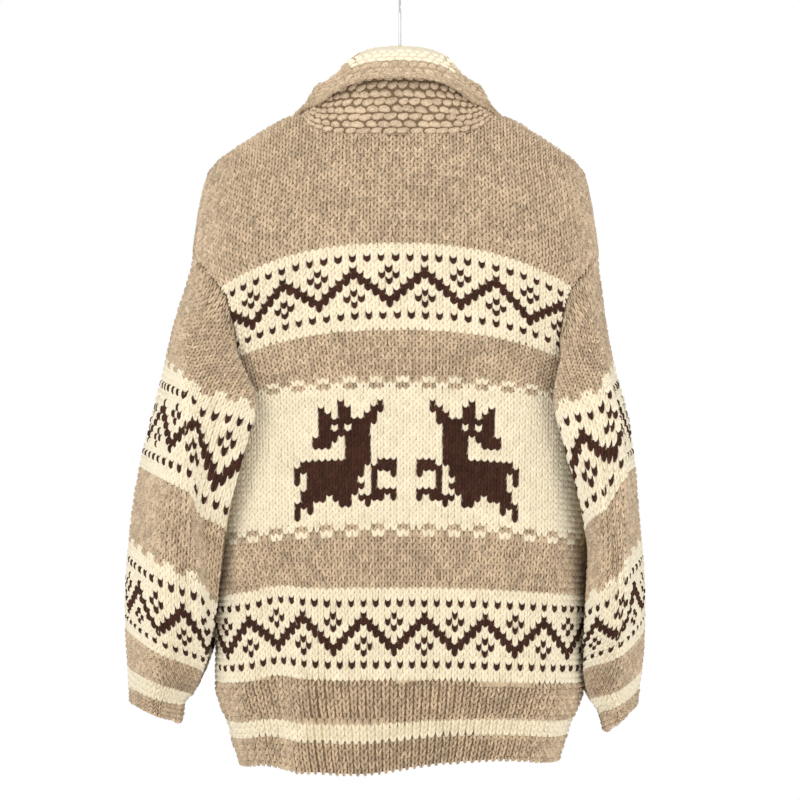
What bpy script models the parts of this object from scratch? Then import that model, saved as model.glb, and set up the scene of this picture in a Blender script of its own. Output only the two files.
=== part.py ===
"""A heavy knitted cardigan with a shawl collar, buttoned and hung on a wooden hanger.

Lengths below are in millimetres and become metres as each mesh is made. +Z is up, the back of
the cardigan faces -Y, and the origin is the inner top of the hook, where a rail carries it.
"""

import math
from collections import namedtuple

import bmesh
import bpy
import numpy as np

MM = 0.001

# Driving dimensions
WALL = 6.0
COLLAR_WALL = 7.0
SEAM_GAP = 0.3
REST_GAP = 0.4
SHOULDER_ROLL = 105.0
ROLL_POWER = 2.2
RIB_HEIGHT = 1.5
BAND_RIB_HEIGHT = 0.9
RIDGE_HEIGHT = 1.2
BAND_HALF_WIDTH = 22.0
OUTER_BAND_EDGE = 30.0
BUTTON_RADIUS = 13.5
BUTTON_THICKNESS = 4.5
BUTTON_COUNT = 5
HOOK_INNER_RADIUS = 20.0
HOOK_WIRE_RADIUS = 1.6
HANGER_HALF_THICKNESS = 7.0
HANGER_HALF_HEIGHT = 12.0
HANGER_END = -236.0
CROWN_TOP = -82.0
SEAM_RETURN = 5.0
HANGER_GAP = 2.2

# Numbers of columns and rows in the walls
BACK_HALF_COLUMNS = 18
NECK_COLUMNS = 7
LAPEL_COLUMNS = 8
ARMHOLE_ROWS = 11
SIDE_ROWS = 7
SLEEVE_COLUMNS = 30
CUFF_RIBS = 20

# The outline of one half of the body, from the virtual point under the hook, down the shoulder
# and the drop of the armhole, then down the side to the hem.
Edge = namedtuple("Edge", "x z")
OUTLINE = [
    Edge(0, -120), Edge(60, -143), Edge(90, -154), Edge(108, -159), Edge(120, -162.5),
    Edge(132, -167.5), Edge(145, -175.5), Edge(163, -187), Edge(181, -199),
    Edge(196, -210), Edge(205, -221), Edge(210.5, -233), Edge(214, -247), Edge(218, -268),
    Edge(221.5, -292), Edge(224, -315), Edge(217, -360), Edge(207, -410), Edge(200, -460),
    Edge(198, -510), Edge(200, -560), Edge(203, -620), Edge(204, -700), Edge(204, -790),
    Edge(199, -812), Edge(190, -832), Edge(184, -853), Edge(177, -875), Edge(172, -895),
]
SIDE_NECK = Edge(108, -159)
SHOULDER_DROP = Edge(224, -315)
UNDERARM = Edge(198, -510)

# The back edge of the armhole, seen from behind, from the shoulder drop to the underarm.
ARMHOLE = [
    SHOULDER_DROP, Edge(207, -340), Edge(188, -366), Edge(181, -410), Edge(184, -455),
    Edge(191, -490), UNDERARM,
]
CROWN = [Edge(0, CROWN_TOP), Edge(14, -86), Edge(34, -101), Edge(64, -135), Edge(90, -161)]
BACK_NECK = [
    Edge(0, -186), Edge(40, -186), Edge(70, -184), Edge(91, -178), Edge(102, -169), SIDE_NECK,
]
LAPEL_EDGE = [
    Edge(BAND_HALF_WIDTH, -345), Edge(38, -316), Edge(63, -263), Edge(88, -208),
    Edge(101, -178), SIDE_NECK,
]

# How far the back and the front stand from the plane of the shoulders at each height.
Depth = namedtuple("Depth", "z back front")
DEPTHS = [
    Depth(-900, 72, 70), Depth(-800, 80, 78), Depth(-700, 79, 78), Depth(-600, 77, 77),
    Depth(-500, 79, 78), Depth(-400, 80, 79), Depth(-300, 76, 74), Depth(-230, 64, 60),
    Depth(-181, 50, 47), Depth(-150, 42, 40), Depth(-80, 38, 38),
]

# The largest soft folds of the body: troughs have a negative height. Each fades out at its ends.
Fold = namedtuple("Fold", "side x_top x_bottom z_top z_bottom width height")
FOLDS = [
    Fold(-1, -148, -128, -330, -650, 26, -7.0),
    Fold(-1, -112, -112, -600, -900, 15, 7.0),
    Fold(-1, -150, -152, -640, -860, 24, -5.0),
    Fold(-1, 158, 150, -350, -640, 24, -6.5),
    Fold(-1, 40, 24, -640, -900, 22, -3.5),
    Fold(-1, 96, 104, -690, -900, 24, 3.5),
    Fold(-1, -10, -4, -420, -600, 60, -3.0),
    Fold(1, -142, -120, -340, -660, 26, -6.5),
    Fold(1, 146, 128, -330, -640, 25, -6.5),
    Fold(1, -98, -106, -620, -900, 20, 5.0),
    Fold(1, 92, 98, -600, -900, 18, 5.5),
]

# The hem's height across the back.
Hem = namedtuple("Hem", "x z")
HEM = [
    Hem(-176, -878), Hem(-143, -872), Hem(-123, -874), Hem(-102, -878), Hem(-41, -880),
    Hem(0, -875), Hem(48, -868), Hem(108, -864), Hem(176, -873),
]
RIB_TOP = -781.0

# The whole garment leans a little to one side as it hangs.
Lean = namedtuple("Lean", "z shift")
LEAN = [
    Lean(-900, -2), Lean(-760, 0), Lean(-500, 0), Lean(-400, -2.5), Lean(-300, -5),
    Lean(-200, -4), Lean(-150, -3), Lean(-82, 0), Lean(10, 0),
]

# Sections of each sleeve. "outer" is its edge away from the body, "back" its broad face, "nose"
# the fold that stands over the body, "tuck" the return beside the body, "under" its inner edge.
Section = namedtuple(
    "Section",
    "outer_x outer_z back_x back_y back_z nose_x nose_y nose_z tuck_x tuck_y under_x under_z",
)
LEFT_SLEEVE = [
    Section(231, -345, 216, 64, -376, 174, 74, -425, 201, 44, 206, -520),
    Section(247, -390, 224, 80, -412, 160, 84, -455, 204, 50, 210, -535),
    Section(259, -437, 228, 92, -452, 153, 87, -478, 204, 52, 211, -556),
    Section(276, -498, 237, 99, -508, 165, 88, -526, 205, 50, 212, -592),
    Section(288, -549, 246, 100, -565, 184, 76, -598, 207, 42, 213, -640),
    Section(296, -595, 252, 98, -615, 191, 66, -645, 208, 36, 213, -678),
    Section(301, -640, 257, 94, -662, 198, 58, -690, 209, 30, 214, -715),
    Section(304, -690, 262, 86, -712, 208, 50, -736, 212, 26, 215, -755),
    Section(304, -728, 264, 78, -748, 220, 44, -770, 219, 22, 222, -785),
    Section(302, -772, 267, 58, -783, 234, 34, -797, 230, 17, 231, -803),
    Section(301, -792, 269, 48, -801, 244, 29, -809, 239, 15, 239, -812),
    Section(299, -811, 271, 44, -820, 248, 26, -829, 243, 14, 243, -835),
]
RIGHT_SLEEVE = [
    Section(226, -345, 211, 64, -380, 176, 73, -428, 201, 44, 205, -520),
    Section(231, -395, 214, 80, -420, 168, 82, -455, 203, 50, 209, -535),
    Section(238, -437, 217, 90, -455, 165, 85, -478, 204, 52, 210, -556),
    Section(253, -498, 225, 97, -508, 177, 86, -524, 205, 50, 211, -592),
    Section(260, -549, 229, 99, -566, 197, 78, -592, 208, 44, 212, -640),
    Section(264, -595, 232, 97, -617, 205, 66, -642, 210, 36, 213, -680),
    Section(268, -640, 235, 93, -664, 203, 58, -688, 211, 30, 214, -718),
    Section(271, -690, 238, 87, -714, 201, 52, -735, 212, 28, 215, -757),
    Section(271, -728, 239, 78, -752, 201, 46, -770, 212, 26, 216, -790),
    Section(268, -775, 238, 60, -792, 209, 37, -803, 214, 20, 217, -812),
    Section(266, -794, 240, 49, -808, 222, 29, -817, 221, 15, 222, -824),
    Section(264, -812, 245, 44, -826, 231, 27, -838, 228, 14, 229, -845),
]
FIRST_CUFF_SECTION = 9
SLEEVE_FRONT_DEPTH = 0.98

# The shawl collar from the centre back to the first button: its fold and its free edge. Positive
# y is towards the front. The neck seam itself comes from the edges of the panels.
Turn = namedtuple("Turn", "reach fold_x fold_y fold_z free_x free_y free_z roll")
COLLAR = [
    Turn(0.00, 0, -36, -92, 0, -59, -122, 8.0),
    Turn(0.12, 22, -34, -93, 26, -57, -123, 8.0),
    Turn(0.24, 43, -26, -98, 53, -49, -129, 8.0),
    Turn(0.34, 60, -14, -108, 74, -36, -139, 8.0),
    Turn(0.42, 73, 0, -121, 90, -17, -149, 8.0),
    Turn(0.48, 85, 15, -139, 105, 9, -151, 7.5),
    Turn(0.55, 83, 37, -163, 121, 34, -172, 7.0),
    Turn(0.66, 71, 57, -202, 126, 61, -220, 7.0),
    Turn(0.78, 50, 74, -252, 106, 79, -276, 6.5),
    Turn(0.90, 26, 82, -306, 68, 84, -324, 6.0),
    Turn(1.00, 10, 85, -338, 36, 86, -343, 5.5),
]
STAND_RIDGES = 9
FALL_RIDGES = 4

HEATHER = (0.46, 0.37, 0.29, 1.0)
BEECH = (0.62, 0.44, 0.28, 1.0)
HORN = (0.16, 0.10, 0.07, 1.0)
STEEL = (0.55, 0.56, 0.57, 1.0)


# ---------------------------------------------------------------- curves through short tables


def through(at, keys, values):
    """A smooth curve through the values at their keys, with no overshoot between them."""
    at = np.asarray(at, float)
    keys = np.asarray(keys, float)
    values = np.asarray(values, float)
    step = np.diff(keys)
    slope = np.diff(values) / step
    tangent = np.concatenate([slope[:1], np.zeros(len(keys) - 2), slope[-1:]])
    for i in range(1, len(keys) - 1):
        if slope[i - 1] * slope[i] > 0:
            before = 2 * step[i] + step[i - 1]
            after = step[i] + 2 * step[i - 1]
            tangent[i] = (before + after) / (before / slope[i - 1] + after / slope[i])
    k = np.clip(np.searchsorted(keys, at) - 1, 0, len(keys) - 2)
    t = np.clip((at - keys[k]) / step[k], 0, 1)
    start = (2 * t**3 - 3 * t**2 + 1) * values[k] + (t**3 - 2 * t**2 + t) * step[k] * tangent[k]
    end = (3 * t**2 - 2 * t**3) * values[k + 1] + (t**3 - t**2) * step[k] * tangent[k + 1]
    return start + end


def column(table, name):
    return [getattr(row, name) for row in table]


def lengths_along(points):
    """The distance of each point from the first, along the polyline."""
    steps = np.linalg.norm(np.diff(points, axis=0), axis=1)
    return np.concatenate([[0], np.cumsum(steps)])


def spread(points, fractions):
    """Points at these fractions of the length of a finely sampled line."""
    along = lengths_along(points)
    wanted = np.asarray(fractions) * along[-1]
    return np.stack([np.interp(wanted, along, points[:, i]) for i in range(points.shape[1])], 1)


def fine_line(table, samples=160):
    """A smooth line in the plane through a table of edges."""
    corners = np.array([(row.x, row.z) for row in table], float)
    along = lengths_along(corners)
    at = np.linspace(0, along[-1], samples)
    return np.stack([through(at, along, corners[:, 0]), through(at, along, corners[:, 1])], 1)


def ring_line(controls, samples=16):
    """A closed smooth loop through its control points, as (point count * samples, 3)."""
    count = len(controls)
    t = np.linspace(0, 1, samples, endpoint=False)[:, None]
    pieces = []
    for i in range(count):
        p0, p1, p2, p3 = (controls[(i + k) % count] for k in (-1, 0, 1, 2))
        pieces.append(
            0.5 * (2 * p1 + (p2 - p0) * t + (2 * p0 - 5 * p1 + 4 * p2 - p3) * t**2
                   + (3 * p1 - p0 - 3 * p2 + p3) * t**3)
        )
    return np.concatenate(pieces)


# ---------------------------------------------------------------- the surface of the body


BODY_LINE = fine_line(OUTLINE, 320)


def to_outline(x, z):
    """Distance to the outline of the body, and the direction away from it, for a point inside."""
    place = np.stack([np.abs(x), z], -1)[..., None, :]
    start = BODY_LINE[:-1]
    side = BODY_LINE[1:] - start
    t = np.clip(((place - start) * side).sum(-1) / (side**2).sum(-1), 0, 1)
    foot = start + t[..., None] * side
    gap = np.linalg.norm(place - foot, axis=-1)
    nearest = gap.argmin(-1)
    distance = np.take_along_axis(gap, nearest[..., None], -1)[..., 0]
    inward = np.stack([side[:, 1], -side[:, 0]], -1)
    inward /= np.linalg.norm(inward, axis=1)[:, None]
    inward = inward[nearest]
    inward[..., 0] *= np.where(np.asarray(x) < 0, -1, 1)
    return distance, inward


def fold_height(x, z, side):
    """How far the folds of the back (-1) or the front (+1) lift or sink its surface."""
    total = np.zeros(np.broadcast(x, z).shape)
    for fold in FOLDS:
        if fold.side != side:
            continue
        t = np.clip((fold.z_top - z) / (fold.z_top - fold.z_bottom), 0, 1)
        middle = fold.x_top + (fold.x_bottom - fold.x_top) * t
        open_end = fold.z_bottom <= -900
        fade = np.sin(math.pi / 2 * t) if open_end else np.sin(math.pi * t)
        total += fold.height * fade**1.3 * np.exp(-(((x - middle) / fold.width) ** 2))
    return total


def body_depth(x, z, side):
    """Distance of the outer surface from the plane of the shoulders."""
    table = sorted(DEPTHS, key=lambda row: row.z)
    full = through(z, column(table, "z"), column(table, "back" if side < 0 else "front"))
    distance, _ = to_outline(x, z)
    u = np.clip(distance / SHOULDER_ROLL, 0, 1)
    rise = (1 - (1 - u) ** ROLL_POWER) ** (1 / ROLL_POWER)
    return full * rise + fold_height(x, z, side) * rise**2


def body_normal(x, z, side):
    """Unit normals out of the body's surface."""
    small = 0.4
    distance, inward = to_outline(x, z)
    x_in = x + inward[..., 0] * small
    z_in = z + inward[..., 1] * small
    inner = body_depth(x_in, z_in, side)
    slope_in = (inner - body_depth(x, z, side)) / small
    x_on = x_in - inward[..., 1] * small
    z_on = z_in + inward[..., 0] * small
    slope_on = (body_depth(x_on, z_on, side) - inner) / small
    normal = np.stack(
        [
            -slope_in * inward[..., 0] + slope_on * inward[..., 1],
            np.full(np.shape(x), float(side)),
            -slope_in * inward[..., 1] - slope_on * inward[..., 0],
        ],
        -1,
    )
    normal[distance < 0.05] *= (1, 0, 1)
    return normal / np.linalg.norm(normal, axis=-1)[..., None]


def hem_height(x):
    return through(x, column(HEM, "x"), column(HEM, "z"))


# ---------------------------------------------------------------- meshes from rows of points


class Cloth:
    """Rows of points joined by triangles, where one row may hold more points than the next."""

    def __init__(self):
        self.points = []
        self.faces = []

    def add(self, points):
        start = len(self.points)
        self.points.extend(np.asarray(points, float))
        return list(range(start, len(self.points)))

    def join(self, first, second, first_at=None, second_at=None):
        """Triangles between two rows, whose points lie at these fractions along them."""
        a_at = np.linspace(0, 1, len(first)) if first_at is None else first_at
        b_at = np.linspace(0, 1, len(second)) if second_at is None else second_at
        i = 0
        j = 0
        while i < len(first) - 1 or j < len(second) - 1:
            next_a = (a_at[i] + a_at[i + 1]) / 2 if i < len(first) - 1 else 2.0
            next_b = (b_at[j] + b_at[j + 1]) / 2 if j < len(second) - 1 else 2.0
            if next_a <= next_b:
                self.faces.append((first[i], first[i + 1], second[j]))
                i += 1
            else:
                self.faces.append((first[i], second[j + 1], second[j]))
                j += 1

    def make(self, name, material, collection):
        """One object of this cloth, in metres, with its faces pointing out."""
        places = np.array(self.points)
        places[:, 0] += through(places[:, 2], column(LEAN, "z"), column(LEAN, "shift"))
        mesh = bpy.data.meshes.new(name)
        mesh.from_pydata((places * MM).tolist(), [], self.faces)
        shell = bmesh.new()
        shell.from_mesh(mesh)
        bmesh.ops.recalc_face_normals(shell, faces=shell.faces)
        shell.to_mesh(mesh)
        shell.free()
        mesh.shade_smooth()
        mesh.materials.append(material)
        obj = bpy.data.objects.new(name, mesh)
        collection.objects.link(obj)
        return obj


# ---------------------------------------------------------------- the panels of the body


def plain_columns(top_table, split, columns):
    """The top edge of a half panel: its neck or lapel edge, then the shoulder to the drop."""
    neck = spread(fine_line(top_table), np.linspace(0, 1, split + 1))
    shoulder_rows = [row for row in OUTLINE if SHOULDER_DROP.z <= row.z <= SIDE_NECK.z]
    shoulder = spread(fine_line(shoulder_rows), np.linspace(0, 1, columns - split + 1))
    return np.concatenate([neck, shoulder[1:]])


def outline_x(z):
    """Half the width of the body at this height, below the shoulder drop."""
    lower = sorted((row for row in OUTLINE if row.z <= SHOULDER_DROP.z), key=lambda row: row.z)
    return through(z, column(lower, "z"), column(lower, "x"))


def even_across(z, side, fractions, start_x):
    """x of points spread evenly over the cloth from start_x to the side, at one height."""
    limit = outline_x(z)
    x = limit - (limit - start_x) * np.linspace(1, 0, 90) ** 1.6
    line = np.stack([x, body_depth(x, np.full(90, float(z)), side)], 1)
    return spread(line, fractions)[:, 0]


def half_panel(side, hand, top, start_x):
    """Places (x, z) of one half panel: rows from the top edge to the hem, columns outwards."""
    columns = len(top)
    fractions = np.linspace(0, 1, columns)
    level = UNDERARM.z
    at_level = even_across(level, side, fractions, start_x)
    armhole = fine_line(ARMHOLE)
    upper = np.zeros((ARMHOLE_ROWS + 1, columns, 2))
    for i in range(columns):
        if i == columns - 1:
            path = armhole
        else:
            w = np.linspace(0, 1, 120) ** 1.8
            z = top[i, 1] + (level - top[i, 1]) * w
            x = top[i, 0] + (at_level[i] - top[i, 0]) * np.clip(w * 1.5, 0, 1) ** 1.3
            path = np.stack([x, z], 1)
        depth = body_depth(hand * path[:, 0], path[:, 1], side)
        surface = np.stack([path[:, 0], depth, path[:, 1]], 1)
        upper[:, i] = spread(surface, np.linspace(0, 1, ARMHOLE_ROWS + 1))[:, [0, 2]]
    down_to_rib = (RIB_TOP - level) / (hem_height(0.0) - level)
    steps = list(np.linspace(0, down_to_rib, SIDE_ROWS + 1)[1:])
    steps += [down_to_rib + 0.03, (1 + down_to_rib) / 2 + 0.02, 1.0]
    lower = []
    for step in steps:
        middle = level + (hem_height(0.0) - level) * step
        x = even_across(middle, side, fractions, start_x)
        z = level + (hem_height(hand * x) - level) * step
        x = x * np.append(np.ones(columns - 1), outline_x(z[-1]) / x[-1])
        lower.append(np.stack([x, z], 1))
    return np.concatenate([upper, np.array(lower)])


def finer(places):
    """The row of places with one more put between each pair."""
    between = (places[1:] + places[:-1]) / 2
    out = np.empty((2 * len(places) - 1, 2))
    out[0::2] = places
    out[1::2] = between
    return out


def surface_points(places, side, raised=None):
    """Outer and inner points of the wall at these places, and the normals between them."""
    x = places[:, 0]
    z = places[:, 1]
    distance, _ = to_outline(x, z)
    on_seam = distance < 0.05
    depth = body_depth(x, z, side)
    depth = np.where(on_seam, SEAM_GAP / 2, np.maximum(depth, SEAM_GAP))
    outer = np.stack([x, side * depth, z], 1)
    normal = body_normal(x, z, side)
    inner = outer - WALL * normal
    if raised is not None:
        outer = outer + raised[:, None] * normal
    return outer, inner, normal


def ribbed(count, height):
    """Heights of a rib's crests and valleys over one row of points, level at its two ends."""
    heights = np.where(np.arange(count) % 2 == 0, -height, height)
    heights[0] = 0
    heights[-1] = 0
    return heights


def wall_of(rows_of_places, side, first_rib_row):
    """A wall over rows of places, with the rows from first_rib_row on finer and ribbed."""
    cloth = Cloth()
    outer_rows = []
    inner_rows = []
    for number, places in enumerate(rows_of_places):
        if number >= first_rib_row:
            fine = finer(places)
            outer, _, _ = surface_points(fine, side, ribbed(len(fine), RIB_HEIGHT))
        else:
            outer, _, _ = surface_points(places, side)
        _, inner, _ = surface_points(places, side)
        outer_rows.append(cloth.add(outer))
        inner_rows.append(cloth.add(inner))
    for rows in (outer_rows, inner_rows):
        for first, second in zip(rows, rows[1:]):
            cloth.join(first, second)
    cloth.join(inner_rows[0], outer_rows[0])
    cloth.join(outer_rows[-1], inner_rows[-1])
    for end in (0, -1):
        cloth.join([row[end] for row in outer_rows], [row[end] for row in inner_rows])
    return cloth


def both_hands(half_right, half_left):
    """One panel's rows from its left side to its right, through the centre column."""
    mirrored = half_left[:, ::-1].copy()
    mirrored[..., 0] *= -1
    return np.concatenate([mirrored[:, :-1], half_right], axis=1)


# ---------------------------------------------------------------- the sleeves


def half_ring(section, hand):
    """The back half of a sleeve's section, from its outer edge round to the underarm."""
    tuck_z = (section.nose_z + section.under_z) / 2
    back = [
        (section.outer_x, 0, section.outer_z),
        (section.back_x, -section.back_y, section.back_z),
        (section.nose_x, -section.nose_y, section.nose_z),
        (section.tuck_x, -section.tuck_y, tuck_z),
        (section.under_x, 0, section.under_z),
    ]
    front = [(x, -y * SLEEVE_FRONT_DEPTH, z) for x, y, z in back[1:4]]
    loop = ring_line(np.array(back + front[::-1], float))
    half = len(loop) // 2
    rear = loop[: half + 1]
    fore = np.concatenate([loop[:1], loop[half:][::-1]])
    for line in (rear, fore):
        line[0, 1] = 0
        line[-1, 1] = 0
        line[:, 0] *= hand
    return rear, fore


def sleeve_ring(section, hand, columns):
    """One ring of a sleeve, from the underarm up its back and down its front."""
    rear, fore = half_ring(section, hand)
    fractions = np.linspace(0, 1, columns // 2 + 1)
    up = spread(rear, fractions)[::-1]
    down = spread(fore, fractions)
    return np.concatenate([up, down[1:-1]])


def ring_normals(rings):
    """Normals out of a tube of rings that all hold the same number of points."""
    around = np.roll(rings, -1, axis=1) - np.roll(rings, 1, axis=1)
    along = np.gradient(rings, axis=0)
    normal = np.cross(around, along)
    normal /= np.linalg.norm(normal, axis=-1)[..., None]
    middle = rings.mean(axis=1, keepdims=True)
    outward = ((rings - middle) * normal).sum(axis=(1, 2), keepdims=True)
    return normal * np.sign(outward)


def armhole_ring(panels, hand):
    """Rings along the armhole: outer and inner points off the panels' edges, then further out."""
    outer = []
    inner = []
    turned = []
    turned_in = []
    for side, half in panels:
        rows = half[: ARMHOLE_ROWS + 1].copy()
        rows[..., 0] *= hand
        edge_outer, edge_inner, normal = surface_points(rows[:, -1], side)
        before, _, _ = surface_points(rows[:, -2], side)
        along = np.gradient(edge_outer, axis=0)
        along /= np.linalg.norm(along, axis=1)[:, None]
        away = edge_outer - before
        away -= (away * along).sum(1)[:, None] * along
        away -= (away * normal).sum(1)[:, None] * normal
        away /= np.linalg.norm(away, axis=1)[:, None]
        outer.append(edge_outer + REST_GAP * away)
        inner.append(edge_inner + REST_GAP * away)
        turned.append(edge_outer + SEAM_RETURN * away)
        turned_in.append(edge_inner + SEAM_RETURN * away)
    rings = []
    for rear, fore in (outer, inner, turned, turned_in):
        top = (rear[0] + fore[0]) / 2
        under = (rear[-1] + fore[-1]) / 2
        rings.append(np.concatenate([[under], rear[1:-1][::-1], [top], fore[1:-1]]))
    return rings


def sleeve(name, sections, hand, panels, material, collection):
    """A tube from the armhole to the ribbed cuff, open at both ends."""
    first_outer, first_inner, turned_outer, turned_inner = armhole_ring(panels, hand)
    rings = np.array([sleeve_ring(section, hand, SLEEVE_COLUMNS) for section in sections])
    normals = ring_normals(rings)
    fine = np.array([sleeve_ring(section, hand, 2 * CUFF_RIBS) for section in sections])
    fine_normals = ring_normals(fine)
    crests = np.where(np.arange(2 * CUFF_RIBS) % 2 == 0, RIB_HEIGHT, -RIB_HEIGHT)
    cloth = Cloth()
    outer_rows = [cloth.add(first_outer), cloth.add(turned_outer)]
    inner_rows = [cloth.add(first_inner), cloth.add(turned_inner)]
    for number in range(len(sections)):
        if number >= FIRST_CUFF_SECTION:
            ribs = fine[number] + crests[:, None] * fine_normals[number]
            outer_rows.append(cloth.add(ribs))
        else:
            outer_rows.append(cloth.add(rings[number]))
        inner_rows.append(cloth.add(rings[number] - WALL * normals[number]))
    for rows in (outer_rows, inner_rows):
        closed = [row + row[:1] for row in rows]
        for first, second in zip(closed, closed[1:]):
            cloth.join(first, second)
    for first, second in ((inner_rows[0], outer_rows[0]), (outer_rows[-1], inner_rows[-1])):
        cloth.join(first + first[:1], second + second[:1])
    return cloth.make(name, material, collection)


# ---------------------------------------------------------------- the collar


def neck_seam(back_half, front_half):
    """Outer and inner points of the neck edge of one hand, from the centre back to the lapel."""
    ends = []
    for side, half, split in ((-1, back_half, NECK_COLUMNS), (1, front_half, LAPEL_COLUMNS)):
        edge = half[0, : split + 1]
        below = half[1, : split + 1]
        outer, inner, normal = surface_points(edge, side)
        under, _, _ = surface_points(below, side)
        along = np.gradient(outer, axis=0)
        along /= np.linalg.norm(along, axis=1)[:, None]
        away = outer - under
        away -= (away * along).sum(1)[:, None] * along
        away -= (away * normal).sum(1)[:, None] * normal
        away /= np.linalg.norm(away, axis=1)[:, None]
        ends.append((outer + REST_GAP * away, inner + REST_GAP * away, away))
    joined = []
    for back_line, front_line in zip(*ends):
        line = np.concatenate([back_line, front_line[::-1][1:]])
        line[NECK_COLUMNS] = (back_line[-1] + front_line[-1]) / 2
        joined.append(line)
    return joined


def turn_at(reach, name):
    return float(through(reach, column(COLLAR, "reach"), column(COLLAR, name)))


def collar_section(seam, reach, along, hand):
    """One closed section across the collar: up the stand, over the fold and down the fall."""
    outer_seam, inner_seam, away = seam
    base = (outer_seam + inner_seam) / 2
    fold = np.array([turn_at(reach, name) for name in ("fold_x", "fold_y", "fold_z")])
    free = np.array([turn_at(reach, name) for name in ("free_x", "free_y", "free_z")])
    fold[0] *= hand
    free[0] *= hand
    roll = turn_at(reach, "roll")
    up = (fold - base) / np.linalg.norm(fold - base)
    out = (free - fold) - ((free - fold) @ up) * up
    out /= np.linalg.norm(out)
    top = fold - roll * up
    pull = np.linalg.norm(top - base) / 3
    t = np.linspace(0, 1, 2 * STAND_RIDGES + 1)[:-1, None]
    stand_line = (
        (1 - t) ** 3 * base + 3 * (1 - t) ** 2 * t * (base + pull * away)
        + 3 * (1 - t) * t**2 * (top - pull * up) + t**3 * top
    )
    arc = np.linspace(0, math.pi, 7)[:, None]
    fold_line = top + roll * (1 - np.cos(arc)) * out + roll * np.sin(arc) * up
    fall_line = np.linspace(top + 2 * roll * out, free, 2 * FALL_RIDGES + 1)[1:]
    path = np.concatenate([stand_line, fold_line, fall_line])
    tangent = np.gradient(path, axis=0)
    across = np.cross(tangent, along)
    across /= np.linalg.norm(across, axis=1)[:, None]
    if across[0] @ (outer_seam - inner_seam) < 0:
        across = -across
    count = len(path)
    stand = 2 * STAND_RIDGES
    crest = min(RIDGE_HEIGHT, 0.3 * np.linalg.norm(np.diff(path, axis=0), axis=1).mean())
    facing = np.full(count, COLLAR_WALL / 2)
    facing[1:stand] += np.where(np.arange(1, stand) % 2 == 1, crest, -crest)
    turned = np.full(count, COLLAR_WALL / 2)
    fall = np.arange(stand + 6, count)
    turned[fall] += np.where(fall % 2 == 1, crest, -crest)
    plain = np.unique(np.concatenate([np.arange(0, stand, 6), np.arange(stand, count)]))
    under = np.concatenate([np.arange(count - 1, stand, -2), np.arange(stand, -1, -1)])
    visible = path[plain] - across[plain] * turned[plain, None]
    hidden = path[under] + across[under] * facing[under, None]
    points = np.concatenate([visible, hidden])
    points[0] = inner_seam
    points[-1] = outer_seam
    return points


def collar(back_half, front_half, material, collection):
    """The shawl collar, in one piece from lapel to lapel."""
    sections = []
    for hand in (-1, 1):
        mirrored = []
        for half in (back_half[hand], front_half[hand]):
            rows = half.copy()
            rows[..., 0] *= hand
            mirrored.append(rows)
        outer, inner, away = neck_seam(*mirrored)
        reaches = reach_of(lengths_along(outer), NECK_COLUMNS)
        along = np.gradient(outer, axis=0)
        along[0, 1:] = 0
        seams = zip(zip(outer, inner, away), reaches, along)
        sections.append([collar_section(seam, reach, way, hand) for seam, reach, way in seams])
    ordered = sections[0][::-1] + sections[1][1:]
    cloth = Cloth()
    rows = [cloth.add(points) for points in ordered]
    for first, second in zip(rows, rows[1:]):
        cloth.join(first + first[:1], second + second[:1])
    for row in (rows[0], rows[-1]):
        middle = cloth.add([np.mean([cloth.points[i] for i in row], axis=0)])[0]
        for i, index in enumerate(row):
            cloth.faces.append((index, row[(i + 1) % len(row)], middle))
    return cloth.make("collar", material, collection)


def reach_of(along, side_neck):
    """How far round the collar each station is, with the side of the neck at 0.46."""
    at_side = 0.46
    back = along[: side_neck + 1] / along[side_neck] * at_side
    front = at_side + (along[side_neck + 1:] - along[side_neck]) / (
        along[-1] - along[side_neck]
    ) * (1 - at_side)
    return np.concatenate([back, front])


# ---------------------------------------------------------------- bands and buttons


def band(name, x_from, x_to, lift, ribs, material, collection):
    """A front band: a ribbed wall from the lapel to the hem, at this lift from the front."""
    across = np.linspace(x_from, x_to, 2 * ribs + 1)
    rows = []
    top = COLLAR[-1].fold_z - 9
    for step in np.linspace(0, 1, 12):
        z = top + (hem_height(across) - top) * step
        depth = body_depth(np.zeros(len(across)), z, 1)
        rows.append(np.stack([across, depth + lift, z], 1))
    heights = ribbed(len(across), BAND_RIB_HEIGHT)
    cloth = Cloth()
    outer_rows = []
    inner_rows = []
    for row in rows:
        outer_rows.append(cloth.add(row + np.stack([0 * heights, heights, 0 * heights], 1)))
        inner_rows.append(cloth.add(row[::ribs] - (0, WALL, 0)))
    for group in (outer_rows, inner_rows):
        for first, second in zip(group, group[1:]):
            cloth.join(first, second)
    cloth.join(inner_rows[0], outer_rows[0])
    cloth.join(outer_rows[-1], inner_rows[-1])
    for end in (0, -1):
        cloth.join([row[end] for row in outer_rows], [row[end] for row in inner_rows])
    return cloth.make(name, material, collection)


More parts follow.
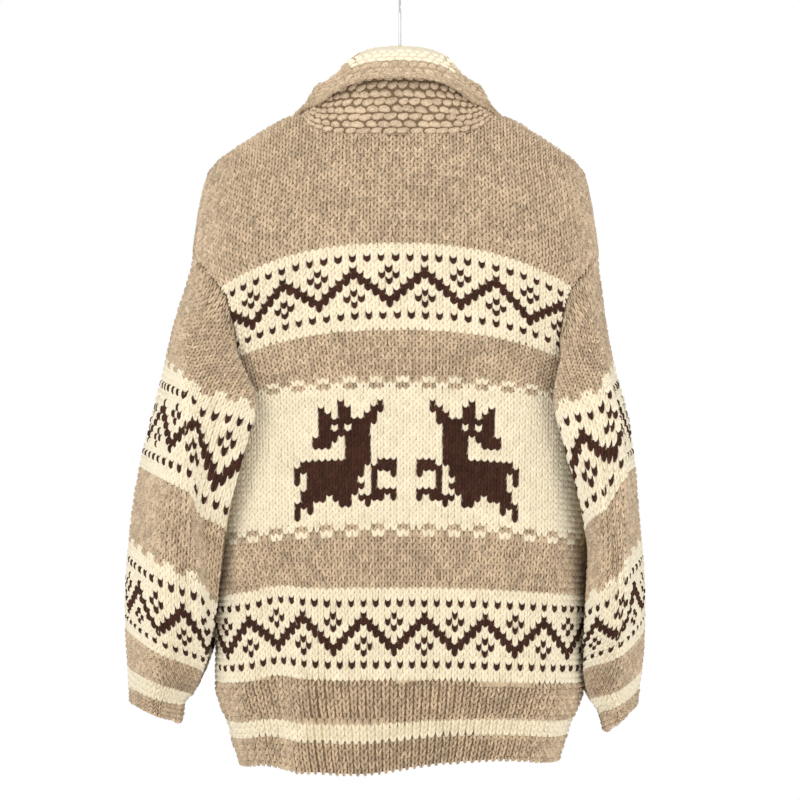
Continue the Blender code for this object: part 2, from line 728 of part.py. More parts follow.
def button(name, z, face_y, material, collection, helpers):
    """A round button with a sunk middle and two thread holes, flat on the outer band."""
    profile = [
        (0, BUTTON_THICKNESS - 1.2), (6.5, BUTTON_THICKNESS - 1.2), (8.5, BUTTON_THICKNESS),
        (BUTTON_RADIUS - 1.6, BUTTON_THICKNESS), (BUTTON_RADIUS, BUTTON_THICKNESS - 1.6),
        (BUTTON_RADIUS, 1.2), (BUTTON_RADIUS - 1.2, 0), (0, 0),
    ]
    mesh = bpy.data.meshes.new(name)
    points = [(radius * MM, 0, height * MM) for radius, height in profile]
    mesh.from_pydata(points, [(i, i + 1) for i in range(len(points) - 1)], [])
    obj = bpy.data.objects.new(name, mesh)
    collection.objects.link(obj)
    turn = obj.modifiers.new("turn", "SCREW")
    turn.steps = 20
    turn.render_steps = 20
    turn.use_merge_vertices = True
    turn.merge_threshold = 0.00001
    for number, offset in enumerate((-3.0, 3.0)):
        hole = bpy.data.meshes.new(f"{name}_hole")
        shape = bmesh.new()
        bmesh.ops.create_cone(
            shape, cap_ends=True, segments=8, radius1=1.2 * MM, radius2=1.2 * MM, depth=20 * MM
        )
        bmesh.ops.translate(shape, verts=shape.verts, vec=(offset * MM, 0, 0))
        shape.to_mesh(hole)
        shape.free()
        cutter = bpy.data.objects.new(f"{name}_hole_{number}", hole)
        helpers.objects.link(cutter)
        cutter.parent = obj
        cutter.hide_render = True
        cutter.display_type = "WIRE"
        cut = obj.modifiers.new(f"hole_{number}", "BOOLEAN")
        cut.operation = "DIFFERENCE"
        cut.solver = "EXACT"
        cut.object = cutter
    obj.rotation_euler = (-math.pi / 2, 0, 0)
    obj.location = (0, face_y * MM, z * MM)
    mesh.materials.append(material)
    return obj


# ---------------------------------------------------------------- the hanger


def hanger_top_line(back_half):
    """The top of the hanger's arm: a humped crown, then just under the seam of the shoulder."""
    _, seam, _ = surface_points(back_half[0, NECK_COLUMNS + 1:], -1)
    seam = seam[seam[:, 2] > HANGER_END][:, [0, 2]]
    tangent = np.gradient(seam, axis=0)
    tangent /= np.linalg.norm(tangent, axis=1)[:, None]
    inward = np.stack([tangent[:, 1], -tangent[:, 0]], 1)
    under_cloth = seam + inward * HANGER_GAP
    corners = np.array([(row.x, row.z) for row in CROWN])
    along = lengths_along(np.concatenate([corners, under_cloth[:1]]))
    at = np.linspace(0, along[-1], 9)[:-1]
    ends = np.concatenate([corners, under_cloth[:1]])
    crown = np.stack([through(at, along, ends[:, 0]), through(at, along, ends[:, 1])], 1)
    return np.concatenate([crown, under_cloth])


def hanger(back_half, material, collection, helpers):
    """The wooden hanger: an oval bar from end to end, with a hole for the hook in its crown."""
    line = hanger_top_line(back_half)
    tangent = np.gradient(line, axis=0)
    tangent[0] = (1, 0)
    tangent /= np.linalg.norm(tangent, axis=1)[:, None]
    inward = np.stack([tangent[:, 1], -tangent[:, 0]], 1)
    middle = line + inward * HANGER_HALF_HEIGHT
    middle[0] = (0, CROWN_TOP - HANGER_HALF_HEIGHT)
    full_middle = np.concatenate([middle[::-1] * (-1, 1), middle[1:]])
    full_inward = np.concatenate([inward[::-1] * (-1, 1), inward[1:]])
    angles = np.linspace(0, 2 * math.pi, 12, endpoint=False)
    cloth = Cloth()
    rows = []
    for centre, down in zip(full_middle, full_inward):
        up_way = np.array([-down[0], 0, -down[1]])
        heights = HANGER_HALF_HEIGHT * np.cos(angles)
        widths = HANGER_HALF_THICKNESS * np.sin(angles)
        ring = np.array([centre[0], 0, centre[1]]) + heights[:, None] * up_way
        rows.append(cloth.add(ring + widths[:, None] * np.array([0, 1, 0])))
    for first, second in zip(rows, rows[1:]):
        cloth.join(first + first[:1], second + second[:1])
    for row in (rows[0], rows[-1]):
        tip = cloth.add([np.mean([cloth.points[i] for i in row], axis=0)])[0]
        for i, index in enumerate(row):
            cloth.faces.append((index, row[(i + 1) % len(row)], tip))
    obj = cloth.make("hanger", material, collection)
    hole = bpy.data.meshes.new("hook_hole")
    shape = bmesh.new()
    hole_radius = (HOOK_WIRE_RADIUS + SEAM_GAP) * MM
    bmesh.ops.create_cone(
        shape, cap_ends=True, segments=12, radius1=hole_radius, radius2=hole_radius, depth=24 * MM
    )
    bmesh.ops.translate(shape, verts=shape.verts, vec=(0, 0, CROWN_TOP * MM))
    shape.to_mesh(hole)
    shape.free()
    cutter = bpy.data.objects.new("hook_hole", hole)
    helpers.objects.link(cutter)
    cutter.hide_render = True
    cutter.display_type = "WIRE"
    cut = obj.modifiers.new("hook_hole", "BOOLEAN")
    cut.operation = "DIFFERENCE"
    cut.solver = "EXACT"
    cut.object = cutter
    return obj


def hook(material, collection):
    """A wire hook: a straight shank that sweeps round into an open loop."""
    radius = HOOK_INNER_RADIUS + HOOK_WIRE_RADIUS
    centre = -HOOK_INNER_RADIUS
    loop = [math.radians(angle) for angle in np.linspace(-90, 165, 26)]
    points = [
        (0.0, CROWN_TOP - 11), (0.0, CROWN_TOP + 14), (0.0, centre - radius - 14),
        (0.0, centre - radius - 6), (2.2, centre - radius - 1.6),
    ]
    points += [(radius * math.cos(angle), centre + radius * math.sin(angle)) for angle in loop[2:]]
    curve = bpy.data.curves.new("hook", "CURVE")
    curve.dimensions = "3D"
    curve.bevel_depth = HOOK_WIRE_RADIUS * MM
    curve.bevel_resolution = 1
    curve.use_fill_caps = True
    spline = curve.splines.new("POLY")
    spline.points.add(len(points) - 1)
    for point, (y, z) in zip(spline.points, points):
        point.co = (0, y * MM, z * MM, 1)
    obj = bpy.data.objects.new("hook", curve)
    curve.materials.append(material)
    collection.objects.link(obj)
    return obj


# ---------------------------------------------------------------- the whole part


def material_of(name, color, roughness, metallic=0.0):
    material = bpy.data.materials.new(name)
    material.use_nodes = True
    shader = material.node_tree.nodes["Principled BSDF"]
    shader.inputs["Base Color"].default_value = color
    shader.inputs["Roughness"].default_value = roughness
    shader.inputs["Metallic"].default_value = metallic
    return material


def main():
    for obj in list(bpy.data.objects):
        bpy.data.objects.remove(obj, do_unlink=True)
    parts = bpy.data.collections.new("knitted_cardigan")
    helpers = bpy.data.collections.new("helpers")
    helpers.hide_render = True
    for group in (parts, helpers):
        bpy.context.scene.collection.children.link(group)

    knit = {
        name: material_of(f"{name}_wool", HEATHER, 0.95)
        for name in ("back", "left_front", "right_front", "left_sleeve", "right_sleeve",
                     "collar", "button_band", "buttonhole_band")
    }
    wood = material_of("beech", BEECH, 0.45)
    horn = material_of("horn", HORN, 0.35)
    steel = material_of("steel_wire", STEEL, 0.3, 1.0)

    back_top = plain_columns(BACK_NECK, NECK_COLUMNS, BACK_HALF_COLUMNS)
    front_top = plain_columns(LAPEL_EDGE, LAPEL_COLUMNS, BACK_HALF_COLUMNS)
    backs = {hand: half_panel(-1, hand, back_top, 0.0) for hand in (-1, 1)}
    fronts = {hand: half_panel(1, hand, front_top, BAND_HALF_WIDTH) for hand in (-1, 1)}
    first_rib_row = ARMHOLE_ROWS + SIDE_ROWS + 1

    whole_back = both_hands(backs[1], backs[-1])
    wall_of(whole_back, -1, first_rib_row).make("back", knit["back"], parts)
    for hand, name in ((-1, "left_front"), (1, "right_front")):
        places = fronts[hand].copy()
        places[..., 0] *= hand
        wall_of(places, 1, first_rib_row).make(name, knit[name], parts)

    for hand, name, sections in (
        (-1, "left_sleeve", LEFT_SLEEVE),
        (1, "right_sleeve", RIGHT_SLEEVE),
    ):
        panels = ((-1, backs[hand]), (1, fronts[hand]))
        sleeve(name, sections, hand, panels, knit[name], parts)

    collar(backs, fronts, knit["collar"], parts)

    inner_edge = BAND_HALF_WIDTH - SEAM_GAP
    band("button_band", -inner_edge, inner_edge, -1.0, 4, knit["button_band"], parts)
    outer_lift = WALL + RIB_HEIGHT + REST_GAP
    band("buttonhole_band", -BAND_HALF_WIDTH, OUTER_BAND_EDGE, outer_lift, 5,
         knit["buttonhole_band"], parts)

    heights = np.linspace(COLLAR[-1].fold_z - 35, HEM[4].z + 40, BUTTON_COUNT)
    for number, z in enumerate(heights, 1):
        covered = z + np.linspace(-BUTTON_RADIUS, BUTTON_RADIUS, 5)
        face = float(body_depth(np.zeros(5), covered, 1).max())
        lift = outer_lift + BAND_RIB_HEIGHT + REST_GAP
        button(f"button_{number}", float(z), face + lift, horn, parts, helpers)

    hanger(backs[1], wood, parts, helpers)
    hook(steel, parts)


main()
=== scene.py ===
"""Looks for a packed cardigan: every knit stitch is a pair of raised yarn legs on a thin wall.

The cardigan is a bulky hand knit with zigzag bands, a light panel with two deer, ribbed edges and a
garter-stitch shawl collar. It hangs on a wooden hanger with a wire hook. Lengths are in
millimetres in the tables and become metres as each mesh is made.
"""

import math
from collections import namedtuple
from contextlib import contextmanager

import bmesh
import bpy
import numpy as np
from bpy.props import FloatProperty, FloatVectorProperty, IntProperty, PointerProperty
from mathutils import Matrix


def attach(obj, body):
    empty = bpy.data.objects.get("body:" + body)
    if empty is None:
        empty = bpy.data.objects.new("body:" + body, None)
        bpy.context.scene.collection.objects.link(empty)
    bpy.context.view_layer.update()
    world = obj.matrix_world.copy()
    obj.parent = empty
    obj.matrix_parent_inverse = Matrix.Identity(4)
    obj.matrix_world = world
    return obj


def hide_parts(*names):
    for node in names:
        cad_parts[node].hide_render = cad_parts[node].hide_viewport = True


bl_info = {
    "name": "Knitted cardigan on a hanger",
    "version": (1, 0, 0),
    "blender": (4, 5, 0),
    "location": "View3D > Sidebar > Cardigan",
    "description": "Knits the panels, sleeves and collar of a hanging cardigan stitch by stitch",
    "category": "Object",
}

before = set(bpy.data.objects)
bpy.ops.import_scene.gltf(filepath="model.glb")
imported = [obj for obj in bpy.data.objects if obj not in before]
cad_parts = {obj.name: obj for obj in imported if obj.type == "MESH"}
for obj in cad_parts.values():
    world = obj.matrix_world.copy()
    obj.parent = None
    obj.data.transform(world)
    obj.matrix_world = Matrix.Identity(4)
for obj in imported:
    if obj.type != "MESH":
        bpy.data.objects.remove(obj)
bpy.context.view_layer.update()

MM = 0.001

# The walls of the cloth, the gaps in a seam and between pieces that touch, how near the outline
# counts as on the seam, and how close together points are merged.
WALL = 6.0
COLLAR_WALL = 7.0
SEAM_GAP = 0.3
REST_GAP = 0.4
SEAM_RETURN = 5.0
ON_SEAM = 0.05
WALL_MERGE = 0.02
WIRE_MERGE = 0.01

# How far in from its outline the body rounds to its full depth, and how fully.
SHOULDER_ROLL = 105.0
ROLL_POWER = 2.2

BAND_HALF_WIDTH = 22.0
OUTER_BAND_EDGE = 30.0
BAND_LIFT = 7.9

# The buttons, from the first under the lapels to the last over the hem: the flat rim, the slope
# and depth of the sunk middle, the rounded edge, the holes and the yarn that goes through them.
BUTTON_RADIUS = 13.5
BUTTON_THICKNESS = 4.5
BUTTON_COUNT = 5
FIRST_BUTTON_DROP = 35.0
LAST_BUTTON_RISE = 40.0
BUTTON_RIM = 4.6
BUTTON_SLOPE = 1.6
BUTTON_HOLLOW = 1.2
BUTTON_BEVEL = 1.3
HOLE_OFFSET = 3.0
HOLE_RADIUS = 1.25
THREAD_RADIUS = 0.85
THREAD_FOOT = 0.6
THREAD_SUNK = 1.3
THREAD_RISE = 1.7
STITCH_TOP = 0.9

# The hook, with the part of its shank that is sunk in the wood, and the hanger.
HOOK_INNER_RADIUS = 20.0
HOOK_WIRE_RADIUS = 1.6
HOOK_IN_WOOD = 10.5
HOOK_SWEEP = (-79.8, 165)
HANGER_HALF_THICKNESS = 7.0
HANGER_HALF_HEIGHT = 12.0
HANGER_END = -236.0
CROWN_TOP = -82.0
HANGER_GAP = 2.2
HANGER_STEPS = 120
HANGER_SIDES = 28
HANGER_ROUND_END = 9.0
HANGER_LEAST_TAPER = 0.12
CROWN_STEPS = 8

# Numbers of columns and rows in the walls that carry the stitches, and how many stitches of the
# pattern on a sleeve's wall lie round it and from one of its rings to the next.
BACK_HALF_COLUMNS = 40
NECK_COLUMNS = 15
LAPEL_COLUMNS = 17
ARMHOLE_ROWS = 44
SIDE_ROWS = 40
RIB_WALL_ROWS = 8
SLEEVE_COLUMNS = 96
SLEEVE_WALL_ROWS = 89
STITCHES_AROUND = 50
STITCHES_A_RING = 1.6
STAND_STEPS = 30
FOLD_STEPS = 10
FALL_STEPS = 14

# The outline of one half of the body, from the virtual point under the hook, down the shoulder
# and the drop of the armhole, then down the side to the hem.
Edge = namedtuple("Edge", "x z")
OUTLINE = [
    Edge(0, -120), Edge(60, -143), Edge(90, -154), Edge(108, -159), Edge(120, -162.5),
    Edge(132, -167.5), Edge(145, -175.5), Edge(163, -187), Edge(181, -199),
    Edge(196, -210), Edge(205, -221), Edge(210.5, -233), Edge(214, -247), Edge(218, -268),
    Edge(221.5, -292), Edge(224, -315), Edge(217, -360), Edge(207, -410), Edge(200, -460),
    Edge(198, -510), Edge(200, -560), Edge(203, -620), Edge(204, -700), Edge(204, -790),
    Edge(199, -812), Edge(190, -832), Edge(184, -853), Edge(177, -875), Edge(172, -895),
]
SIDE_NECK = Edge(108, -159)
SHOULDER_DROP = Edge(224, -315)
SHOULDER_TURN = Edge(205, -221)
UNDERARM = Edge(198, -510)

SHOULDER_LINE = [row for row in OUTLINE if row.z >= SHOULDER_DROP.z]
SIDE_LINE = [row for row in OUTLINE[::-1] if row.z <= SHOULDER_DROP.z]
LINE_BELOW_TURN = [row for row in OUTLINE[::-1] if row.z <= SHOULDER_TURN.z]

# The back edge of the armhole, seen from behind, from the shoulder drop to the underarm.
ARMHOLE = [
    SHOULDER_DROP, Edge(207, -340), Edge(188, -366), Edge(181, -410), Edge(184, -455),
    Edge(191, -490), UNDERARM,
]
CROWN = [Edge(0, CROWN_TOP), Edge(14, -86), Edge(34, -101), Edge(64, -135), Edge(90, -161)]
BACK_NECK = [
    Edge(0, -186), Edge(40, -186), Edge(70, -184), Edge(91, -178), Edge(102, -169), SIDE_NECK,
]
LAPEL_EDGE = [
    Edge(BAND_HALF_WIDTH, -345), Edge(38, -316), Edge(63, -263), Edge(88, -208),
    Edge(101, -178), SIDE_NECK,
]

# How far the back and the front stand from the plane of the shoulders at each height.
Depth = namedtuple("Depth", "z back front")
DEPTHS = [
    Depth(-900, 72, 70), Depth(-800, 80, 78), Depth(-700, 79, 78), Depth(-600, 77, 77),
    Depth(-500, 79, 78), Depth(-400, 80, 79), Depth(-300, 76, 74), Depth(-230, 64, 60),
    Depth(-181, 50, 47), Depth(-150, 42, 40), Depth(-80, 38, 38),
]

# The largest soft folds of the body: troughs have a negative height. Each fades out at its ends,
# but one that runs to the lower end of the garment stays open there.
FOLD_LOW_END = -900
Fold = namedtuple("Fold", "side x_top x_bottom z_top z_bottom width height")
FOLDS = [
    Fold(-1, -148, -128, -330, -650, 26, -7.0),
    Fold(-1, -112, -112, -590, -900, 13, 11.0),
    Fold(-1, -146, -148, -620, -880, 20, -7.0),
    Fold(-1, -84, -84, -640, -900, 14, -4.0),
    Fold(-1, 158, 150, -350, -640, 24, -6.5),
    Fold(-1, 40, 24, -640, -900, 22, -3.5),
    Fold(-1, 96, 104, -690, -900, 24, 3.5),
    Fold(-1, -10, -4, -420, -600, 60, -3.0),
    Fold(1, -142, -120, -340, -660, 26, -6.5),
    Fold(1, 146, 128, -330, -640, 25, -6.5),
    Fold(1, -98, -106, -620, -900, 20, 5.0),
    Fold(1, 92, 98, -600, -900, 18, 5.5),
]

# The hem's height from one side to the other.
Hem = namedtuple("Hem", "x z")
HEM = [
    Hem(-176, -878), Hem(-143, -872), Hem(-123, -874), Hem(-102, -878), Hem(-41, -880),
    Hem(0, -875), Hem(48, -868), Hem(108, -864), Hem(176, -873),
]
RIB_TOP = -781.0

# The whole garment leans a little to one side as it hangs.
Lean = namedtuple("Lean", "z shift")
LEAN = [
    Lean(-900, -2), Lean(-760, 0), Lean(-500, 0), Lean(-400, -2.5), Lean(-300, -5),
    Lean(-200, -4), Lean(-150, -3), Lean(-82, 0), Lean(10, 0),
]

# Sections of each sleeve. "outer" is its edge away from the body, "back" its broad face, "nose"
# the fold that stands over the body, "tuck" the return beside the body, "under" its inner edge.
Section = namedtuple(
    "Section",
    "outer_x outer_z back_x back_y back_z nose_x nose_y nose_z tuck_x tuck_y under_x under_z",
)
LEFT_SLEEVE = [
    Section(231, -345, 216, 64, -376, 174, 74, -425, 201, 44, 206, -520),
    Section(247, -390, 224, 80, -412, 160, 84, -455, 204, 50, 210, -535),
    Section(259, -437, 228, 92, -452, 153, 87, -478, 204, 52, 211, -556),
    Section(276, -498, 237, 99, -508, 165, 88, -526, 205, 50, 212, -592),
    Section(288, -549, 246, 100, -565, 184, 76, -598, 207, 42, 213, -640),
    Section(296, -595, 252, 98, -615, 191, 66, -645, 208, 36, 213, -678),
    Section(301, -640, 257, 94, -662, 198, 58, -690, 209, 30, 214, -715),
    Section(304, -690, 262, 86, -712, 208, 50, -736, 212, 26, 215, -755),
    Section(304, -728, 264, 78, -748, 220, 44, -770, 219, 22, 222, -785),
    Section(302, -772, 267, 58, -783, 234, 34, -797, 230, 17, 231, -803),
    Section(301, -792, 269, 48, -801, 244, 29, -809, 239, 15, 239, -812),
    Section(299, -811, 271, 44, -820, 248, 26, -829, 243, 14, 243, -835),
]
RIGHT_SLEEVE = [
    Section(226, -345, 211, 64, -380, 176, 73, -428, 201, 44, 205, -520),
    Section(231, -395, 214, 80, -420, 168, 82, -455, 203, 50, 209, -535),
    Section(238, -437, 217, 90, -455, 165, 85, -478, 204, 52, 210, -556),
    Section(253, -498, 225, 97, -508, 177, 86, -524, 205, 50, 211, -592),
    Section(260, -549, 229, 99, -566, 197, 78, -592, 208, 44, 212, -640),
    Section(264, -595, 232, 97, -617, 205, 66, -642, 210, 36, 213, -680),
    Section(268, -640, 235, 93, -664, 203, 58, -688, 211, 30, 214, -718),
    Section(271, -690, 238, 87, -714, 201, 52, -735, 212, 28, 215, -757),
    Section(271, -728, 239, 78, -752, 201, 46, -770, 212, 26, 216, -790),
    Section(268, -775, 238, 60, -792, 209, 37, -803, 214, 20, 217, -812),
    Section(266, -794, 240, 49, -808, 222, 29, -817, 221, 15, 222, -824),
    Section(264, -812, 245, 44, -826, 231, 27, -838, 228, 14, 229, -845),
]
FIRST_CUFF_SECTION = 9
SLEEVE_FRONT_DEPTH = 0.98

# The shawl collar from the centre back to the first button: its fold and its free edge. Positive
# y is towards the front. The neck seam itself comes from the edges of the panels.
Turn = namedtuple("Turn", "reach fold_x fold_y fold_z free_x free_y free_z roll")
COLLAR = [
    Turn(0.00, 0, -36, -92, 0, -59, -122, 8.0),
    Turn(0.12, 22, -34, -93, 26, -57, -123, 8.0),
    Turn(0.24, 43, -26, -98, 53, -49, -129, 8.0),
    Turn(0.34, 60, -14, -108, 74, -36, -139, 8.0),
    Turn(0.42, 73, 0, -121, 90, -17, -149, 8.0),
    Turn(0.48, 85, 15, -139, 105, 9, -151, 7.5),
    Turn(0.55, 83, 37, -163, 121, 34, -172, 7.0),
    Turn(0.66, 71, 57, -202, 126, 61, -220, 7.0),
    Turn(0.78, 50, 74, -252, 106, 79, -276, 6.5),
    Turn(0.90, 26, 82, -306, 68, 84, -324, 6.0),
    Turn(1.00, 10, 85, -338, 36, 86, -343, 5.5),
]

# ---------------------------------------------------------------- curves through short tables


def through(at, keys, values):
    """A smooth curve through the values at their keys, with no overshoot between them."""
    at = np.asarray(at, float)
    keys = np.asarray(keys, float)
    values = np.asarray(values, float)
    step = np.diff(keys)
    slope = np.diff(values) / step
    tangent = np.concatenate([slope[:1], np.zeros(len(keys) - 2), slope[-1:]])
    for i in range(1, len(keys) - 1):
        if slope[i - 1] * slope[i] > 0:
            before = 2 * step[i] + step[i - 1]
            after = step[i] + 2 * step[i - 1]
            tangent[i] = (before + after) / (before / slope[i - 1] + after / slope[i])
    k = np.clip(np.searchsorted(keys, at) - 1, 0, len(keys) - 2)
    t = np.clip((at - keys[k]) / step[k], 0, 1)
    start = (2 * t**3 - 3 * t**2 + 1) * values[k] + (t**3 - 2 * t**2 + t) * step[k] * tangent[k]
    end = (3 * t**2 - 2 * t**3) * values[k + 1] + (t**3 - t**2) * step[k] * tangent[k + 1]
    return start + end


def column(table, name):
    return [getattr(row, name) for row in table]


def read_off(table, at, key, name):
    """One column of a table, as a smooth curve over another of its columns."""
    return through(at, column(table, key), column(table, name))


def unit(vectors):
    """The vectors at length one; one without a length stays zero."""
    return vectors / np.maximum(np.linalg.norm(vectors, axis=-1), 1e-9)[..., None]


def smooth_step(part):
    """A part from 0 to 1, eased at both ends."""
    return part**2 * (3 - 2 * part)


def lengths_along(points):
    """The distance of each point from the first, along the polyline."""
    steps = np.linalg.norm(np.diff(points, axis=0), axis=1)
    return np.concatenate([[0], np.cumsum(steps)])


def resampled(wanted, along, points):
    """The points read at the wanted lengths, where along holds their own."""
    return np.stack([np.interp(wanted, along, points[:, i]) for i in range(points.shape[1])], 1)


def spread(points, fractions):
    """Points at these fractions of the length of a finely sampled line."""
    along = lengths_along(points)
    return resampled(np.asarray(fractions) * along[-1], along, points)


def fine_line(corners, samples=160):
    """A smooth line in the plane through its corners."""
    corners = np.array(corners, float)
    along = lengths_along(corners)
    at = np.linspace(0, along[-1], samples)
    return np.stack([through(at, along, corners[:, axis]) for axis in (0, 1)], 1)


def to_hand(places, hand):
    """A copy of places on the right, mirrored where the hand is the left one, -1."""
    places = places.copy()
    places[..., 0] *= hand
    return places


def cell_corners(grid):
    """The four corners of each cell of a grid whose rows run downwards, from its lower left."""
    return np.stack([grid[1:, :-1], grid[1:, 1:], grid[:-1, 1:], grid[:-1, :-1]], 2)


def ring_line(controls, samples=16):
    """A closed smooth loop through its control points, as (point count * samples, 3)."""
    count = len(controls)
    t = np.linspace(0, 1, samples, endpoint=False)[:, None]
    pieces = []
    for i in range(count):
        p0, p1, p2, p3 = (controls[(i + k) % count] for k in (-1, 0, 1, 2))
        pieces.append(
            0.5 * (2 * p1 + (p2 - p0) * t + (2 * p0 - 5 * p1 + 4 * p2 - p3) * t**2
                   + (3 * p1 - p0 - 3 * p2 + p3) * t**3)
        )
    return np.concatenate(pieces)


# ---------------------------------------------------------------- the surface of the body


BODY_LINE = fine_line(OUTLINE, 320)


def to_outline(x, z):
    """Distance to the outline of the body, and the direction away from it, for a point inside."""
    place = np.stack([np.abs(x), z], -1)[..., None, :]
    start = BODY_LINE[:-1]
    side = BODY_LINE[1:] - start
    t = np.clip(((place - start) * side).sum(-1) / (side**2).sum(-1), 0, 1)
    foot = start + t[..., None] * side
    gap = np.linalg.norm(place - foot, axis=-1)
    nearest = gap.argmin(-1)
    distance = np.take_along_axis(gap, nearest[..., None], -1)[..., 0]
    inward = unit(np.stack([side[:, 1], -side[:, 0]], -1))[nearest]
    inward[..., 0] *= np.where(np.asarray(x) < 0, -1, 1)
    return distance, inward


def fold_height(x, z, side):
    """How far the folds of the back (-1) or the front (+1) lift or sink its surface."""
    total = np.zeros(np.broadcast(x, z).shape)
    for fold in FOLDS:
        if fold.side != side:
            continue
        t = np.clip((fold.z_top - z) / (fold.z_top - fold.z_bottom), 0, 1)
        middle = fold.x_top + (fold.x_bottom - fold.x_top) * t
        open_end = fold.z_bottom <= FOLD_LOW_END
        fade = np.sin(math.pi / 2 * t) if open_end else np.sin(math.pi * t)
        total += fold.height * fade**1.3 * np.exp(-(((x - middle) / fold.width) ** 2))
    return total


def body_depth(x, z, side):
    """Distance of the outer surface from the plane of the shoulders."""
    full = read_off(DEPTHS, z, "z", "back" if side < 0 else "front")
    distance, _ = to_outline(x, z)
    u = np.clip(distance / SHOULDER_ROLL, 0, 1)
    rise = (1 - (1 - u) ** ROLL_POWER) ** (1 / ROLL_POWER)
    return full * rise + fold_height(x, z, side) * rise**2


def body_normal(x, z, side):
    """Unit normals out of the body's surface."""
    small = 0.4
    distance, inward = to_outline(x, z)
    x_in = x + inward[..., 0] * small
    z_in = z + inward[..., 1] * small
    inner = body_depth(x_in, z_in, side)
    slope_in = (inner - body_depth(x, z, side)) / small
    x_on = x_in - inward[..., 1] * small
    z_on = z_in + inward[..., 0] * small
    slope_on = (body_depth(x_on, z_on, side) - inner) / small
    normal = np.stack(
        [
            -slope_in * inward[..., 0] + slope_on * inward[..., 1],
            np.full(np.shape(x), float(side)),
            -slope_in * inward[..., 1] - slope_on * inward[..., 0],
        ],
        -1,
    )
    normal[distance < ON_SEAM] *= (1, 0, 1)
    return unit(normal)


def hem_height(x):
    return read_off(HEM, x, "x", "z")


# ---------------------------------------------------------------- the panels of the body


def plain_columns(top_table, split, columns):
    """The top edge of a half panel: its neck or lapel edge, then the shoulder to the drop."""
    neck = spread(fine_line(top_table), np.linspace(0, 1, split + 1))
    on_shoulder = (BODY_LINE[:, 1] < SIDE_NECK.z) & (BODY_LINE[:, 1] > SHOULDER_DROP.z)
    line = np.concatenate([[SIDE_NECK], BODY_LINE[on_shoulder], [SHOULDER_DROP]])
    shoulder = spread(line, np.linspace(0, 1, columns - split + 1))
    return np.concatenate([neck, shoulder[1:]])


def outline_x(z):
    """Half the width of the body at this height, below the shoulder drop."""
    return read_off(SIDE_LINE, z, "z", "x")


# Parts of a way, closer together where the cloth curves most. On its way down from the top edge a
# column has moved sideways by the last of them.
CLOSER_TO_SIDE = np.linspace(1, 0, 90) ** 1.6
CLOSER_TO_TOP = np.linspace(0, 1, 120) ** 1.8
SIDEWAYS = np.clip(CLOSER_TO_TOP * 1.5, 0, 1) ** 1.3


def even_across(z, side, fractions, start_x):
    """x of points spread evenly over the cloth from start_x to the side, at one height."""
    limit = outline_x(z)
    x = limit - (limit - start_x) * CLOSER_TO_SIDE
    line = np.stack([x, body_depth(x, np.full(len(x), float(z)), side)], 1)
    return spread(line, fractions)[:, 0]


def half_panel(side, hand, top, start_x):
    """Places (x, z) of one half panel: rows from the top edge to the hem, columns outwards."""
    columns = len(top)
    fractions = np.linspace(0, 1, columns)
    level = UNDERARM.z
    at_level = even_across(level, side, fractions, start_x)
    armhole = fine_line(ARMHOLE)
    upper = np.zeros((ARMHOLE_ROWS + 1, columns, 2))
    for i in range(columns):
        if i == columns - 1:
            path = armhole
        else:
            z = top[i, 1] + (level - top[i, 1]) * CLOSER_TO_TOP
            x = top[i, 0] + (at_level[i] - top[i, 0]) * SIDEWAYS
            path = np.stack([x, z], 1)
        depth = body_depth(hand * path[:, 0], path[:, 1], side)
        surface = np.stack([path[:, 0], depth, path[:, 1]], 1)
        upper[:, i] = spread(surface, np.linspace(0, 1, ARMHOLE_ROWS + 1))[:, [0, 2]]
    down_to_rib = (RIB_TOP - level) / (hem_height(0.0) - level)
    steps = list(np.linspace(0, down_to_rib, SIDE_ROWS + 1)[1:])
    steps += list(np.linspace(down_to_rib, 1.0, RIB_WALL_ROWS + 1)[1:])
    lower = []
    for step in steps:
        middle = level + (hem_height(0.0) - level) * step
        x = even_across(middle, side, fractions, start_x)
        for _ in range(3):
            z = level + (hem_height(hand * x) - level) * step
            x = start_x + (x - start_x) * (outline_x(z[-1]) - start_x) / (x[-1] - start_x)
        lower.append(np.stack([x, z], 1))
    return np.concatenate([upper, np.array(lower)])


def surface_points(places, side):
    """Outer and inner points of the wall at these places, and the normals between them."""
    x = places[:, 0]
    z = places[:, 1]
    distance, _ = to_outline(x, z)
    depth = np.maximum(body_depth(x, z, side), SEAM_GAP)
    depth = np.where(distance < ON_SEAM, SEAM_GAP / 2, depth)
    outer = np.stack([x, side * depth, z], 1)
    normal = body_normal(x, z, side)
    inner = outer - WALL * normal
    return outer, inner, normal


def off_edge(edge, before, normal):
    """Unit directions that lead off the cloth across its edge, away from the line before it."""
    away = edge - before
    for direction in (unit(np.gradient(edge, axis=0)), normal):
        away -= (away * direction).sum(1)[:, None] * direction
    return unit(away)


def both_hands(half_right, half_left):
    """One panel's rows from its left side to its right, through the centre column."""
    return np.concatenate([to_hand(half_left[:, :0:-1], -1), half_right], axis=1)


# ---------------------------------------------------------------- the sleeves


def half_ring(section, hand):
    """The back and the front half of a sleeve's ring, from its outer edge to the underarm."""
    tuck_z = (section.nose_z + section.under_z) / 2
    back = [
        (section.outer_x, 0, section.outer_z),
        (section.back_x, -section.back_y, section.back_z),
        (section.nose_x, -section.nose_y, section.nose_z),
        (section.tuck_x, -section.tuck_y, tuck_z),
        (section.under_x, 0, section.under_z),
    ]
    front = [(x, -y * SLEEVE_FRONT_DEPTH, z) for x, y, z in back[1:4]]
    loop = ring_line(np.array(back + front[::-1], float))
    half = len(loop) // 2
    rear = loop[: half + 1]
    fore = np.concatenate([loop[:1], loop[half:][::-1]])
    for line in (rear, fore):
        line[0, 1] = 0
        line[-1, 1] = 0
        line[:, 0] *= hand
    return rear, fore


